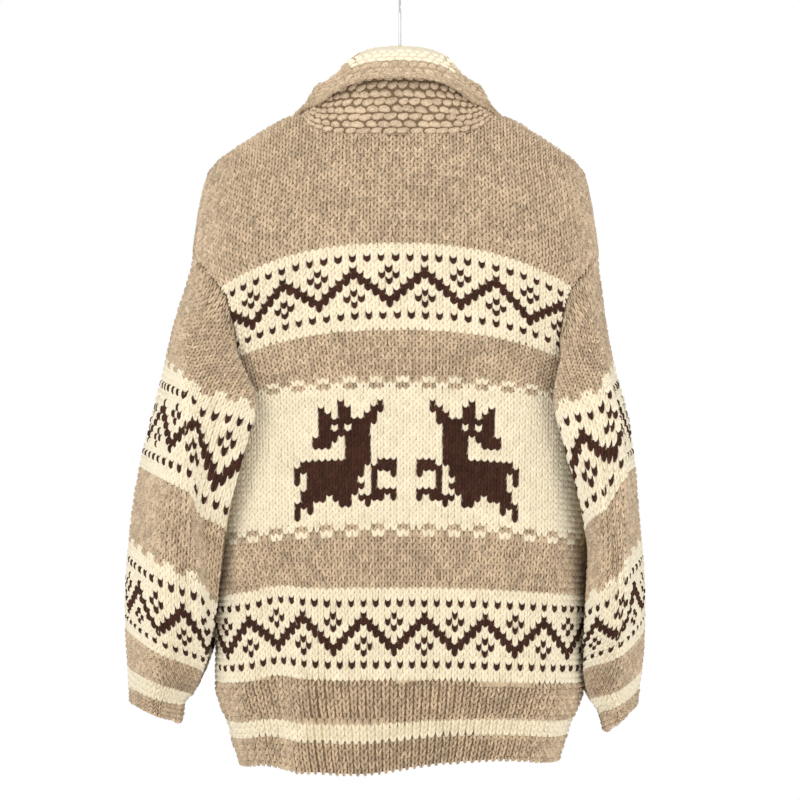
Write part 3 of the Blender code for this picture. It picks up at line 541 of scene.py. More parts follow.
def ring_normals(rings):
    """Normals out of a tube of rings that all hold the same number of points."""
    around = np.roll(rings, -1, axis=1) - np.roll(rings, 1, axis=1)
    along = np.gradient(rings, axis=0)
    normal = unit(np.cross(around, along))
    middle = rings.mean(axis=1, keepdims=True)
    outward = ((rings - middle) * normal).sum(axis=(1, 2), keepdims=True)
    return normal * np.sign(outward)


def armhole_ring(panels, hand):
    """Rings along the armhole: outer and inner points off the panels' edges, then further out."""
    lines = []
    for side, half in panels:
        rows = to_hand(half[: ARMHOLE_ROWS + 1], hand)
        outer, inner, normal = surface_points(rows[:, -1], side)
        before, _, _ = surface_points(rows[:, -2], side)
        away = off_edge(outer, before, normal)
        lines.append([face + gap * away for gap in (REST_GAP, SEAM_RETURN)
                      for face in (outer, inner)])
    rings = []
    for rear, fore in zip(*lines):
        top = (rear[0] + fore[0]) / 2
        under = (rear[-1] + fore[-1]) / 2
        rings.append(np.concatenate([[under], rear[1:-1][::-1], [top], fore[1:-1]]))
    return rings


def neck_seam(back_half, front_half):
    """Outer and inner points of the neck edge of one hand, from the centre back to the lapel."""
    ends = []
    for side, half, split in ((-1, back_half, NECK_COLUMNS), (1, front_half, LAPEL_COLUMNS)):
        outer, inner, normal = surface_points(half[0, : split + 1], side)
        below, _, _ = surface_points(half[1, : split + 1], side)
        away = off_edge(outer, below, normal)
        ends.append((outer + REST_GAP * away, inner + REST_GAP * away, away))
    seams = []
    for back_line, front_line in zip(*ends):
        line = np.concatenate([back_line, front_line[::-1][1:]])
        line[NECK_COLUMNS] = (back_line[-1] + front_line[-1]) / 2
        seams.append(line)
    return seams


def turn_at(reach, name):
    return float(read_off(COLLAR, reach, "reach", name))


def reach_of(along, side_neck):
    """How far round the collar each station is, with the side of the neck at 0.46."""
    at_side = 0.46
    back = along[: side_neck + 1] / along[side_neck] * at_side
    front = at_side + (along[side_neck + 1:] - along[side_neck]) / (
        along[-1] - along[side_neck]
    ) * (1 - at_side)
    return np.concatenate([back, front])


def hanger_top_line(back_half):
    """The top of the hanger's arm: a humped crown, then just under the seam of the shoulder."""
    _, seam, _ = surface_points(back_half[0, NECK_COLUMNS + 1:], -1)
    seam = seam[seam[:, 2] > HANGER_END][:, [0, 2]]
    tangent = unit(np.gradient(seam, axis=0))
    under_cloth = seam + np.stack([tangent[:, 1], -tangent[:, 0]], 1) * HANGER_GAP
    crown = fine_line(np.concatenate([CROWN, under_cloth[:1]]), CROWN_STEPS + 1)
    return np.concatenate([crown[:-1], under_cloth])


# ---------------------------------------------------------------- the charts of the knitting

# The slots of the three yarns. The first offset below is added for the cloth between the raised
# stitches, whose darker copies of the yarns are painted shade, and the second for the inner side
# of a wall, also painted a little darker as shade.
HEATHER, CREAM, DARK = 0, 1, 2
SHADED_GROUND = 3
REVERSE = 3

# Where the knit rows lie at the centre of the body. Row 0 is the first of the upper band. "droop"
# is how far the row hangs lower at the sides, "stitch" the width of one stitch.
RowMark = namedtuple("RowMark", "row z droop stitch")
ROW_MARKS = [
    RowMark(0, -307, 46, 7.8), RowMark(15, -400.6, 36, 7.6), RowMark(24, -457, 15, 7.1),
    RowMark(49, -616, 12, 6.9), RowMark(58, -678.6, 10, 6.6), RowMark(73, -778, 7, 6.5),
]
DROOP_AT = 190.0
DROOP_POWER = 2.4
YOKE_ROW_HEIGHT = 6.5
YOKE_ROWS = 34
MOST_COLUMNS = 44
LAST_ROW = 73
RIB_ROWS = 15
RIB_STITCH = 4.45
SEAM_HALF_WIDTH = (5.5, 7.5)
SEAM_OVERRUN = 5.0
HEM_ROLL = 2.0

# Over one spot of the left side, the rows up to the rib are lifted a little.
LIFT_X = -128.0
LIFT_WIDTH = 30.0
LIFT_HEIGHT = 7.5
LIFT_ROWS = (50, 60)
RIB_CREAM_ROWS = (7, 10)
FIRST_FRONT_COLUMN = 3

# The zigzag band: for each of its rows, how many stitches from the peak are dark.
BAND_ROWS = 15
REPEAT = 10
PEAK_COLUMN = 4
ZIGZAG = {
    2: (0, 2, 4), 4: (0, 5), 5: (0, 1, 4), 6: (1, 2, 5), 7: (2, 3), 8: (0, 3, 4), 9: (1, 4, 5),
    10: (0, 5), 12: (0, 2, 4),
}
UPPER_BAND = 0
LOWER_BAND = 58
PANEL_FIRST = 24
PANEL_LAST = 48

# One leaping deer, in stitches. The right edge of its chart is the one nearest to the centre of the
# back, and its mirror image stands on the other side. DEER_AXIS is the centre's column.
DEER_FIRST_ROW = 27
DEER_AXIS = 1
DEER_GAP = 2
DEER = [
    ".......#.....#..",
    "....#..##...##..",
    "....##.##..##...",
    "....#########...",
    "....##.#.###....",
    "....########....",
    "...####.####....",
    "...###..####....",
    "........####....",
    "........####....",
    ".###########.###",
    "###########.####",
    "#.#########.#..#",
    "#.########..#...",
    "..#########.#...",
    ".#########..####",
    ".####.###.####.#",
    "###....##..#....",
    "#.#.............",
    "#...............",
]

# The long creases of each sleeve: "half" is its back (0) or front (1), "share" how far round from
# its outer edge the crease lies at the armhole and at the cuff. A trough has a negative height.
Crease = namedtuple("Crease", "hand half share_top share_bottom width height")
CREASES = [
    Crease(-1, 0, 0.15, 0.84, 0.035, 6.5), Crease(-1, 0, 0.24, 0.94, 0.050, -7.5),
    Crease(-1, 1, 0.42, 0.46, 0.045, 5.0), Crease(-1, 1, 0.53, 0.55, 0.055, -6.0),
    Crease(1, 0, 0.24, 0.48, 0.035, 6.5), Crease(1, 0, 0.34, 0.57, 0.050, -7.5),
    Crease(1, 1, 0.44, 0.42, 0.045, 5.0), Crease(1, 1, 0.55, 0.52, 0.055, -6.0),
]
CREASE_FROM = 0.2
CREASE_REACH = 7.4

# Where the rows slip under the main crease of each sleeve, as shares at the armhole and the cuff.
MAIN_CREASE = {-1: (0.17, 0.86), 1: (0.26, 0.50)}
SLIP = 0.36
SLIP_WIDTH = 0.07

# Sleeve rows: which section of the sleeve each of them reaches, from the armhole at -1.
SleeveMark = namedtuple("SleeveMark", "row section")
SLEEVE_MARKS = [
    SleeveMark(0, -1), SleeveMark(4.5, 0), SleeveMark(18, 2), SleeveMark(33, 4),
    SleeveMark(45, 5.83), SleeveMark(60, 8), SleeveMark(67, 9), SleeveMark(70, 10.1),
    SleeveMark(74, 11),
]

# Places along a sleeve are counted in sections, from the armhole's seam at -1. Up to the first
# section, at 0, the cloth is first sewn flat, then free.
SEWN_PART = 0.2
FREE_PART = 0.8
CUFF_SINKS_FROM = 8.6
SLEEVE_STEP = 0.125

# The sleeve's stitches and the rows where its bands, its cuff and the cuff's stripe begin.
SLEEVE_STITCH = 7.0
SLEEVE_HALF_STITCHES = 28
SLEEVE_PHASE = 5
SLEEVE_UPPER_BAND = 18
SLEEVE_LOWER_BAND = 45
SLEEVE_RIB = 67
SLEEVE_LAST = 74
CUFF_CREAM_ROWS = (0, 3)
CUFF_STITCH = 4.45

# The last stitch of a row reaches past the seam by up to this share of it, and the yoke past the
# shoulder by so many rows. The middle of a stitch may lie past the neck's or armhole's edge by
# these margins.
LAST_STITCH = 0.98
ROWS_OVER_SHOULDER = 2.5
NECK_MARGIN = 1.2
ARMHOLE_MARGIN = 1.5

# How uneven the stitches are: in width, place, rise, height and, for garter stitch, tone.
UNEVEN = {"width": 0.08, "place": 0.025, "rise": 0.03, "height": 0.12}
CALM_TONE = 0.45

# No stitch is knitted where a row is lower than LEAST_CELL. The wall lies under the stitches by
# its sink, deeper in the rib. PATCH is how high a stitch's patch of yarn lies, as a part of it.
LEAST_CELL = 1.5
STITCH_LIFT = 1.0
STITCH_DEPTH = 2.9
GARTER_DEPTH = 3.4
PATCH = 0.12
RIB_DEPTH = 1.4 * STITCH_DEPTH
WALL_SINK = 1.9
RIB_SINK = 2.8
RIB_BLEND = 16.0
EDGE_BLEND = 0.15
RIB_SPREAD = 1.68


def zigzag(row, column):
    """The yarn of a band's stitch at this row of it, 0 to 14."""
    from_peak = (column - PEAK_COLUMN) % REPEAT
    from_peak = min(from_peak, REPEAT - from_peak)
    return DARK if from_peak in ZIGZAG.get(row, ()) else CREAM


def pairs(column):
    """Whether this column is in one of the pairs of stitches that edge the light panel."""
    return column % 4 < 2


def body_yarn(row, column, with_deer):
    """The yarn of one stitch of the body."""
    for first in (UPPER_BAND, LOWER_BAND):
        if first <= row < first + BAND_ROWS:
            return zigzag(row - first, column)
    if row in (PANEL_FIRST - 1, PANEL_LAST + 1):
        return CREAM if pairs(column) else HEATHER
    if row in (PANEL_FIRST, PANEL_LAST):
        return HEATHER if pairs(column) else CREAM
    if PANEL_FIRST < row < PANEL_LAST:
        line = row - DEER_FIRST_ROW
        reach = abs(column - DEER_AXIS) - DEER_GAP
        if with_deer and 0 <= line < len(DEER) and 0 <= reach < len(DEER[0]):
            return DARK if DEER[line][len(DEER[0]) - 1 - reach] == "#" else CREAM
        return CREAM
    return HEATHER


def sleeve_yarn(row, column):
    for first in (SLEEVE_UPPER_BAND, SLEEVE_LOWER_BAND):
        if first <= row < first + BAND_ROWS:
            return zigzag(row - first, column + SLEEVE_PHASE)
        if row == first - 1:
            return CREAM if pairs(column) else HEATHER
    return HEATHER


# ---------------------------------------------------------------- stitches on a grid


def leg(sign):
    """One raised leg of a stitch: points (across, up, out) and its quads, right or left."""
    stations = [
        (0.05, -0.12, 0.1, 0.07), (0.17, 0.22, 0.95, 0.17), (0.31, 0.72, 1.0, 0.18),
        (0.44, 1.22, 0.1, 0.09),
    ]
    points = []
    uv = []
    for number, (across, up, out, half) in enumerate(stations):
        for edge in (-1, 0, 1):
            height = out if edge == 0 else 0.1 * out
            points.append((sign * (across + edge * half), up - 0.4 * edge * half, height))
            uv.append((number / 3, (edge + 1) / 2))
    quads = []
    for i in range(3):
        for j in range(2):
            a = 3 * i + j
            quad = (a, a + 1, a + 4, a + 3)
            quads.append(quad if sign > 0 else quad[::-1])
    return points, quads, uv


def knit_stitch(spread_by=1.0):
    """Both legs of a knit stitch, wider than its cell by this much, over a patch of its yarn."""
    right, quads, uv = leg(1)
    left, more, uv_left = leg(-1)
    moved = [tuple(i + len(right) for i in quad) for quad in more]
    patch = [(-0.12, 0.0, PATCH), (0.12, 0.0, PATCH), (0.36, 0.95, PATCH), (-0.36, 0.95, PATCH)]
    points = np.array(right + left + patch)
    points[:, 0] *= spread_by
    start = len(right) + len(left)
    faces = quads + moved + [(start, start + 1, start + 2, start + 3)]
    return points, np.array(faces), np.array(uv + uv_left + [(0.5, 0.5)] * 4)


def bumps(places, half_width, half_height, slant, arch, sides):
    """Rounded bumps in a cell, each bent and slanted the other way from the one before it."""
    points = []
    quads = []
    uv = []
    for number, (middle, up) in enumerate(places):
        start = len(points)
        way = (-1) ** number
        for reach, height in ((0.5, 1.0), (0.86, 0.66), (1.0, 0.0)):
            for i in range(sides):
                angle = 2 * math.pi * i / sides
                across = half_width * reach * math.cos(angle)
                rise = half_height * reach * math.sin(angle)
                rise += way * (slant * across - arch * (across / half_width) ** 2)
                points.append((middle + across, up + rise, height))
                uv.append((0.5 + 0.5 * reach * math.cos(angle), 0.5 + 0.5 * math.sin(angle)))
        for i in range(1, sides - 2, 2):
            quads.append((start, start + i, start + i + 1, start + i + 2))
        for ring in (start, start + sides):
            for i in range(sides):
                j = (i + 1) % sides
                quads.append((ring + i, ring + sides + i, ring + sides + j, ring + j))
    return np.array(points), np.array(quads), np.array(uv)


def garter_stitch():
    """The two bumps of a garter ridge, the second half a stitch along and lower."""
    return bumps(((0.0, 0.77), (0.5, 0.23)), 0.56, 0.25, 0.1, 0.09, 8)


def cell_normals(grid):
    """Unit normals of the cells of a grid of points, whose rows run downwards."""
    return unit(np.cross(grid[:-1, 1:] - grid[1:, :-1], grid[:-1, :-1] - grid[1:, 1:]))


def stitched(grid, keep, yarn, outward, template, depth, seed):
    """Copies of a stitch over the kept cells of a grid: points, quads, slot, uv and tone.

    A cell with a corner that isn't a number holds no cloth. outward is a direction, or one for
    each cell, that the stitches rise towards."""
    whole = cell_corners(~np.isnan(grid).any(-1)).all(-1)
    keep = keep & whole
    grid = np.nan_to_num(grid)
    flat = cell_normals(grid) * whole[..., None]
    if (flat * outward).sum() < 0:
        grid, keep, yarn, flat = grid[:, ::-1], keep[:, ::-1], yarn[:, ::-1], -flat[:, ::-1]
    normal = np.zeros(grid.shape)
    for i in (0, 1):
        for j in (0, 1):
            normal[i : i + flat.shape[0], j : j + flat.shape[1]] += flat
    normal = unit(normal)
    tall = grid[:-1, :-1] + grid[:-1, 1:] - grid[1:, :-1] - grid[1:, 1:]
    keep = keep & (np.linalg.norm(tall, axis=-1) > 2 * LEAST_CELL)
    shape, quads, uv = template
    rng = np.random.default_rng(seed)
    row, col = np.nonzero(keep)
    count = len(row)
    top_left, top_right = grid[row, col], grid[row, col + 1]
    foot_left, foot_right = grid[row + 1, col], grid[row + 1, col + 1]
    below = (foot_left + foot_right) / 2
    above = (top_left + top_right) / 2
    out_below = normal[row + 1, col] + normal[row + 1, col + 1]
    out_above = normal[row, col] + normal[row, col + 1]

    def uneven(measure):
        return UNEVEN[measure] * rng.standard_normal((count, 1, 1))

    a = shape[None, :, 0, None] * (1 + uneven("width"))
    a = a + uneven("place")
    b = shape[None, :, 1, None] + uneven("rise")
    # A stitch with a patch of yarn behind its legs has an odd number of quads. Dark patches meet
    # their dark neighbours, so that no light shows between them.
    patched = len(quads) % 2 == 1
    if patched:
        dark = yarn[row, col] == DARK
        before = dark & (yarn[row, np.maximum(col - 1, 0)] == DARK)
        after = dark & (yarn[row, np.minimum(col + 1, yarn.shape[1] - 1)] == DARK)
        for which, corner, edge in (
            (before, -4, -0.5), (before, -1, -0.5), (after, -3, 0.5), (after, -2, 0.5)
        ):
            a[which, corner] = edge
        b[dark & (yarn[np.maximum(row - 1, 0), col] == DARK), -2:] = 1.0
        b[dark & (yarn[np.minimum(row + 1, len(yarn) - 1), col] == DARK), -4:-2] = 0.0
    h = shape[None, :, 2, None] * depth * (1 + uneven("height")) + STITCH_LIFT - depth
    across_below = (foot_right - foot_left)[:, None]
    across_above = (top_right - top_left)[:, None]
    along = below[:, None] + b * (above - below)[:, None]
    width = across_below + np.clip(b, 0, 1) * (across_above - across_below)
    out = unit(out_below[:, None] + np.clip(b, 0, 1) * (out_above - out_below)[:, None])
    points = (along + a * width + h * out).reshape(-1, 3)
    faces = (quads[None] + (np.arange(count) * len(shape))[:, None, None]).reshape(-1, 4)
    slots = np.repeat(yarn[row, col], len(quads))
    # The patch behind a stitch's legs takes the darker copy of its yarn, painted shade between the
    # legs.
    if patched:
        slots[len(quads) - 1 :: len(quads)] += SHADED_GROUND
    strands = rng.random((count, 2))
    if not patched:
        strands = 0.5 + CALM_TONE * (strands - 0.5)
    half = np.arange(len(quads)) * 2 // len(quads)
    tones = strands[:, half].reshape(-1)
    return points, faces, slots, np.tile(uv[quads], (count, 1, 1, 1)).reshape(-1, 2), tones


def joined(pieces):
    """Several sets of points, quads, slots, uv and tones as one."""
    faces = []
    start = 0
    for piece in pieces:
        faces.append(piece[1] + start)
        start += len(piece[0])
    points, _, slots, uv, tones = (np.concatenate(group) for group in zip(*pieces))
    return points, np.concatenate(faces), slots, uv, tones


def lean(points):
    """Places in millimetres as metres, shifted by the lean of the hanging cardigan."""
    out = np.array(points, float)
    out[:, 0] += read_off(LEAN, out[:, 2], "z", "shift")
    return out * MM


def mesh_piece(name, data, materials):
    """One object from points, faces, slots, uv and the tone of each face."""
    points, faces, slots, uv, tones = data
    mesh = bpy.data.meshes.new(name)
    mesh.from_pydata(lean(points).tolist(), [], np.asarray(faces).tolist())
    for material in materials:
        mesh.materials.append(material)
    mesh.polygons.foreach_set("material_index", np.asarray(slots, np.int32))
    layer = mesh.uv_layers.new(name="yarn")
    layer.data.foreach_set("uv", np.asarray(uv, np.float32).ravel())
    tone = mesh.attributes.new("tone", "FLOAT", "FACE")
    tone.data.foreach_set("value", np.asarray(tones, np.float32))
    mesh.shade_smooth()
    mesh.update()
    obj = bpy.data.objects.new(name, mesh)
    bpy.context.scene.collection.objects.link(obj)
    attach(obj, "root")
    return obj


@contextmanager
def edited(obj):
    """The object's mesh, open to be changed and written back at the end."""
    mesh = bmesh.new()
    mesh.from_mesh(obj.data)
    yield mesh
    mesh.to_mesh(obj.data)
    mesh.free()


def wall_piece(name, outer, inner, slots, uv_grid, materials, rings=False):
    """A closed thin wall: an outer and an inner grid of points with a rim between them.

    The inner side and the rim show the reverse of the knitting."""
    rows, columns = outer.shape[:2]
    count = rows * columns
    index = np.arange(count).reshape(rows, columns)
    if rings:
        index = np.concatenate([index, index[:, :1]], axis=1)
        uv_grid = np.concatenate([uv_grid, uv_grid[:, -1:] * 2 - uv_grid[:, -2:-1]], axis=1)
    quads = cell_corners(index).reshape(-1, 4)
    uv = cell_corners(uv_grid).reshape(-1, 4, 2)
    slots = slots.reshape(-1)
    faces = [quads, quads[:, ::-1] + count]
    uvs = [uv, uv[:, ::-1]]
    marks = [slots, slots + REVERSE]
    rims = [index[0], index[-1][::-1]]
    if not rings:
        rims += [index[::-1, 0], index[:, -1]]
    for rim in rims:
        strip = np.stack([rim[:-1], rim[1:], rim[1:] + count, rim[:-1] + count], -1)
        faces.append(strip)
        uvs.append(np.zeros((len(strip), 4, 2)))
        marks.append(np.full(len(strip), REVERSE))
    points = np.concatenate([outer.reshape(-1, 3), inner.reshape(-1, 3)])
    faces = np.concatenate(faces)
    obj = mesh_piece(name, (
        points, faces, np.concatenate(marks), np.concatenate(uvs).reshape(-1, 2),
        np.full(len(faces), 0.5),
    ), materials)
    with edited(obj) as shell:
        bmesh.ops.remove_doubles(shell, verts=shell.verts, dist=WALL_MERGE * MM)
        bmesh.ops.recalc_face_normals(shell, faces=shell.faces)
    obj.data.shade_smooth()
    return obj


# ---------------------------------------------------------------- knitting on the body


def marks_at(row, name):
    return np.interp(row, column(ROW_MARKS, "row"), column(ROW_MARKS, name))


def row_height(row, x):
    """z of a row's edge at x, from the upper band down to the rib."""
    drop = marks_at(row, "droop") * (np.abs(x) / DROOP_AT) ** DROOP_POWER
    share = np.clip((row - LIFT_ROWS[0]) / (LIFT_ROWS[1] - LIFT_ROWS[0]), 0, 1)
    lift = LIFT_HEIGHT * share * np.exp(-(((x - LIFT_X) / LIFT_WIDTH) ** 2))
    return marks_at(row, "z") - drop + lift


def shoulder_height(x):
    """z of the outline above a place on the yoke."""
    return np.interp(np.abs(x), column(SHOULDER_LINE, "x"), column(SHOULDER_LINE, "z"))


def yoke_x(x, z, edge):
    """x of a column of stitches as it climbs over the yoke, following the shoulder's outline.

    edge is the half width of the body where the column starts."""
    wide = np.interp(z, column(LINE_BELOW_TURN, "z"), column(LINE_BELOW_TURN, "x"))
    return x + (wide - edge) * (np.clip(x, 0, None) / edge) ** 3


CLOSER_TO_SEAM = 1 - (1 - np.linspace(0, 1, 220)) ** 2.2


def cloth_line(height_of, side, sign, start_x):
    """Points of one knit row from start_x to the side seam, and their lengths along the cloth."""
    limit = outline_x(height_of(start_x))
    for _ in range(4):
        x = start_x + (limit - start_x) * CLOSER_TO_SEAM
        limit = outline_x(height_of(x[-1]))
    z = height_of(x)
    return x, lengths_along(np.stack([x, body_depth(sign * x, z, side), z], 1))


CLOSER_TO_SHOULDER = 1 - (1 - np.linspace(0, 1, 160)) ** 2


def body_grid(side, sign, first, start_x):
    """Corner places (x, z) of the stitches of one half: the rows of the yoke, then the others.

    Lengths are measured from start_x; columns are numbered from first, in stitches."""
    places = []
    for row in range(0, LAST_ROW + 1):
        width = float(marks_at(row, "stitch"))
        arcs = (first + np.arange(MOST_COLUMNS + 1)) * width
        line, along = cloth_line(lambda at, r=row: row_height(r, sign * at), side, sign, start_x)
        x = np.interp(np.abs(arcs), along, line) * np.where(arcs < 0, -1, 1)
        x[arcs > along[-1] + width * LAST_STITCH] = np.nan
        places.append(np.stack([x, row_height(row, sign * x)], -1))
    base = places[0][:, 0]
    edge = np.nanmax(base)
    climbs = np.full((YOKE_ROWS, len(base), 2), np.nan)
    reach = np.arange(YOKE_ROWS, 0, -1) * YOKE_ROW_HEIGHT
    for i in np.nonzero(~np.isnan(base))[0]:
        top = shoulder_height(yoke_x(base[i], SHOULDER_TURN.z, edge))
        foot = row_height(0, sign * base[i])
        z = foot + (top - foot) * CLOSER_TO_SHOULDER
        x = yoke_x(np.full(len(z), base[i]), z, edge)
        along = lengths_along(np.stack([x, body_depth(sign * x, z, side), z], 1))
        climbs[:, i, 0] = np.interp(reach, along, x)
        climbs[:, i, 1] = np.interp(reach, along, z)
        climbs[reach > along[-1] + ROWS_OVER_SHOULDER * YOKE_ROW_HEIGHT, i] = np.nan
    return to_hand(np.concatenate([climbs, np.array(places)]), sign)


def armhole_x(z):
    return np.interp(z, column(ARMHOLE[::-1], "z"), column(ARMHOLE[::-1], "x"))


def inside_body(x, z, neck_table):
    """Whether a place lies on the panel: below its neck edge and shoulder, and off the armhole."""
    across = np.abs(x)
    neck = np.interp(across, column(neck_table, "x"), column(neck_table, "z"))
    top = np.where(across < SIDE_NECK.x, neck, shoulder_height(across))
    ok = z < top + NECK_MARGIN
    if neck_table is LAPEL_EDGE:
        ok &= across > BAND_HALF_WIDTH + 1
    at_armhole = (z > UNDERARM.z) & (z < SHOULDER_DROP.z + 1)
    return ok & ~(at_armhole & (across > armhole_x(z) + ARMHOLE_MARGIN))


def on_surface(x, z, side):
    """Places on the outer surface of the body; a place that isn't a number stays so."""
    depth = body_depth(np.nan_to_num(x), np.nan_to_num(z), side)
    return np.stack([x, side * np.maximum(depth, SEAM_GAP / 2) + 0 * z, z], -1)


def panel_stitches(side, hand, first, start_x, neck_table, with_deer, seed):
    """The knit stitches of one half of a panel, or of the whole back with hand 0."""
    if hand == 0:
        halves = [body_grid(side, sign, first, start_x)[:, 1:] for sign in (-1, 1)]
        grid = np.concatenate([halves[0][:, ::-1], halves[1]], axis=1)
        columns = np.arange(grid.shape[1] - 1) - (grid.shape[1] // 2 - 1)
    else:
        grid = body_grid(side, hand, first, start_x)
        columns = (np.arange(grid.shape[1] - 1) + FIRST_FRONT_COLUMN) * hand
    middle = cell_corners(grid).mean(2)
    keep = ~np.isnan(middle).any(-1) & inside_body(
        np.nan_to_num(middle[..., 0]), np.nan_to_num(middle[..., 1]), neck_table
    )
    yarn = np.array([
        [body_yarn(row, int(number), with_deer) for number in columns]
        for row in range(-YOKE_ROWS, LAST_ROW)
    ])
    surface = on_surface(grid[..., 0], grid[..., 1], side)
    return stitched(surface, keep, yarn, (0.0, side, 0.0), knit_stitch(), STITCH_DEPTH, seed)


def shoulder_seam(hand, seed):
    """The two columns of stitches over the seam of a shoulder, from the neck to the armhole."""
    lowest = SHOULDER_DROP.z - SEAM_OVERRUN
    upper = (BODY_LINE[:, 1] < SIDE_NECK.z) & (BODY_LINE[:, 1] > lowest)
    rows = round(lengths_along(BODY_LINE[upper])[-1] / YOKE_ROW_HEIGHT)
    share = np.linspace(0, 1, rows + 1)
    line = spread(BODY_LINE[upper], share)
    half = SEAM_HALF_WIDTH[0] + (SEAM_HALF_WIDTH[1] - SEAM_HALF_WIDTH[0]) * share
    cells = np.array([
        [(hand * x, y, z) for y in (-reach, 0.0, reach)] for (x, z), reach in zip(line, half)
    ])
    keep = np.ones((rows, 2), bool)
    yarn = np.full(keep.shape, HEATHER)
    return stitched(cells, keep, yarn, (hand, 0.0, 0.3), knit_stitch(), STITCH_DEPTH, seed)


def ribbed(surface, cream_rows, outward, depth, seed):
    """The raised knit columns of a rib, with the sunk columns left between them."""
    yarn = np.full((len(surface) - 1, surface.shape[1] - 1), HEATHER)
    yarn[cream_rows[0] : cream_rows[1]] = CREAM
    keep = np.ones(yarn.shape, bool)
    keep[:, 1::2] = False
    return stitched(surface, keep, yarn, outward, knit_stitch(RIB_SPREAD), depth, seed)


def rib_grid(side, sign, start_x):
    """Corner places (x, z) of the rib of one half, from the last knit row down to the hem."""
    rows = []
    count = None
    for step in range(RIB_ROWS + 1):

        def height_of(x, t=step / RIB_ROWS):
            top = row_height(LAST_ROW, sign * x)
            return top + (hem_height(sign * np.asarray(x)) - HEM_ROLL - top) * t

        line, along = cloth_line(height_of, side, sign, start_x)
        count = count or 2 * round(along[-1] / RIB_STITCH / 2)
        x = np.interp(np.linspace(0, along[-1], count + 1), along, line)
        rows.append(np.stack([sign * x, height_of(x)], -1))
    return np.array(rows)


def rib_stitches(side, hand, start_x, seed):
    """The knit columns of the hem's rib, over one half or the whole back with hand 0."""
    if hand == 0:
        left, right = (rib_grid(side, sign, start_x) for sign in (-1, 1))
        grid = np.concatenate([left[:, :0:-1], right], axis=1)
    else:
        grid = rib_grid(side, hand, start_x)
    surface = on_surface(grid[..., 0], grid[..., 1], side)
    return ribbed(surface, RIB_CREAM_ROWS, (0.0, side, 0.0), RIB_DEPTH, seed)


def wall_rows_yarn(places):
    """The yarn of each face of a panel's wall, by the knit row that it lies in."""
    rows = np.arange(0, LAST_ROW + 1)
    middle = (places[1:, 1:] + places[:-1, :-1]) / 2
    found = np.full(middle.shape[:2], HEATHER)
    for cell in np.ndindex(found.shape):
        x, z = middle[cell]
        heights = row_height(rows, x)
        if heights[-1] < z <= heights[0]:
            light = body_yarn(int(np.interp(-z, -heights, rows)), 0, False) != HEATHER
        else:
            share = (heights[-1] - z) / (heights[-1] - float(hem_height(x)))
            light = RIB_CREAM_ROWS[0] <= share * RIB_ROWS < RIB_CREAM_ROWS[1]
        found[cell] = CREAM if light else HEATHER
    return found


def panel_wall(name, places, side, materials):
    """The thin wall of a panel, sunk a little under its stitches."""
    outer = []
    inner = []
    for line in places:
        surface, inside, normal = surface_points(line, side)
        in_rib = np.clip((RIB_TOP + RIB_BLEND / 2 - line[:, 1]) / RIB_BLEND, 0, 1)
        sink = WALL_SINK + (RIB_SINK - WALL_SINK) * in_rib
        distance, _ = to_outline(line[:, 0], line[:, 1])
        at_edge = np.clip(distance / EDGE_BLEND, 0, 1)
        outer.append(surface - normal * (sink * at_edge)[:, None])
        inner.append(inside)
    uv = np.stack([places[..., 0] / SLEEVE_STITCH, places[..., 1] / YOKE_ROW_HEIGHT], -1)
    slots = wall_rows_yarn(places)
    return wall_piece(name, np.array(outer), np.array(inner), slots, uv, materials)


# ---------------------------------------------------------------- knitting on the sleeves


HALF_RING = np.linspace(0, 1, 97)


def section_at(sections, place):
    """The sleeve's section at a place between two sections of its table."""
    index = np.arange(len(sections))
    return Section(*(float(through(place, index, values)) for values in zip(*sections)))


def ring_halves(ring):
    """A ring's two halves from its top, round the back and round the front, to the underarm."""
    half = len(ring) // 2
    rear = ring[: half + 1][::-1]
    fore = np.concatenate([ring[half:], ring[:1]])
    return np.array([spread(line, HALF_RING) for line in (rear, fore)])


def crease_fade(place):
    """How strongly the creases of a sleeve show at a place between its sections."""
    return np.sin(math.pi * np.clip((place - CREASE_FROM) / CREASE_REACH, 0, 1)) ** 0.8


def creased(line, hand, half, place):
    """A line round half a sleeve, from its outer edge, with the long creases of the cloth."""
    fade = crease_fade(place)
    if fade <= 0:
        return line
    share = lengths_along(line)
    share = share / share[-1]
    tangent = np.gradient(line, axis=0)
    normal = unit(np.stack([tangent[:, 1], -tangent[:, 0], 0 * share], 1))
    middle = line[len(line) // 2]
    if normal[len(line) // 2] @ (middle - line.mean(axis=0)) < 0:
        normal = -normal
    total = np.zeros(len(line))
    for crease in CREASES:
        if (crease.hand, crease.half) == (hand, half):
            move = crease.share_bottom - crease.share_top
            at = crease.share_top + move * place / FIRST_CUFF_SECTION
            total += crease.height * np.exp(-(((share - at) / crease.width) ** 2))
    return line + (total * fade)[:, None] * normal


def slip(share, place, hand):
    """How far the rows drop, in sections, on the inner side of the main crease of a sleeve."""
    first, last = MAIN_CREASE[hand]
    at = first + (last - first) * place / FIRST_CUFF_SECTION
    return SLIP * crease_fade(place) * smooth_step(np.clip((share - at) / SLIP_WIDTH, 0, 1))


def sleeve_halves(sections, hand, place, rings):
    """Fine lines from the sleeve's outer edge round the back and round the front."""
    section = half_ring(section_at(sections, max(place, 0.0)), hand)
    whole = np.array([
        creased(spread(line, HALF_RING), hand, half, place) for half, line in enumerate(section)
    ])
    if place >= 0:
        return whole
    turned = ring_halves(rings[2])
    if place > -FREE_PART:
        return turned + (whole - turned) * (place + FREE_PART) / FREE_PART
    seam = ring_halves(rings[0])
    return seam + (turned - seam) * (place + 1) / SEWN_PART


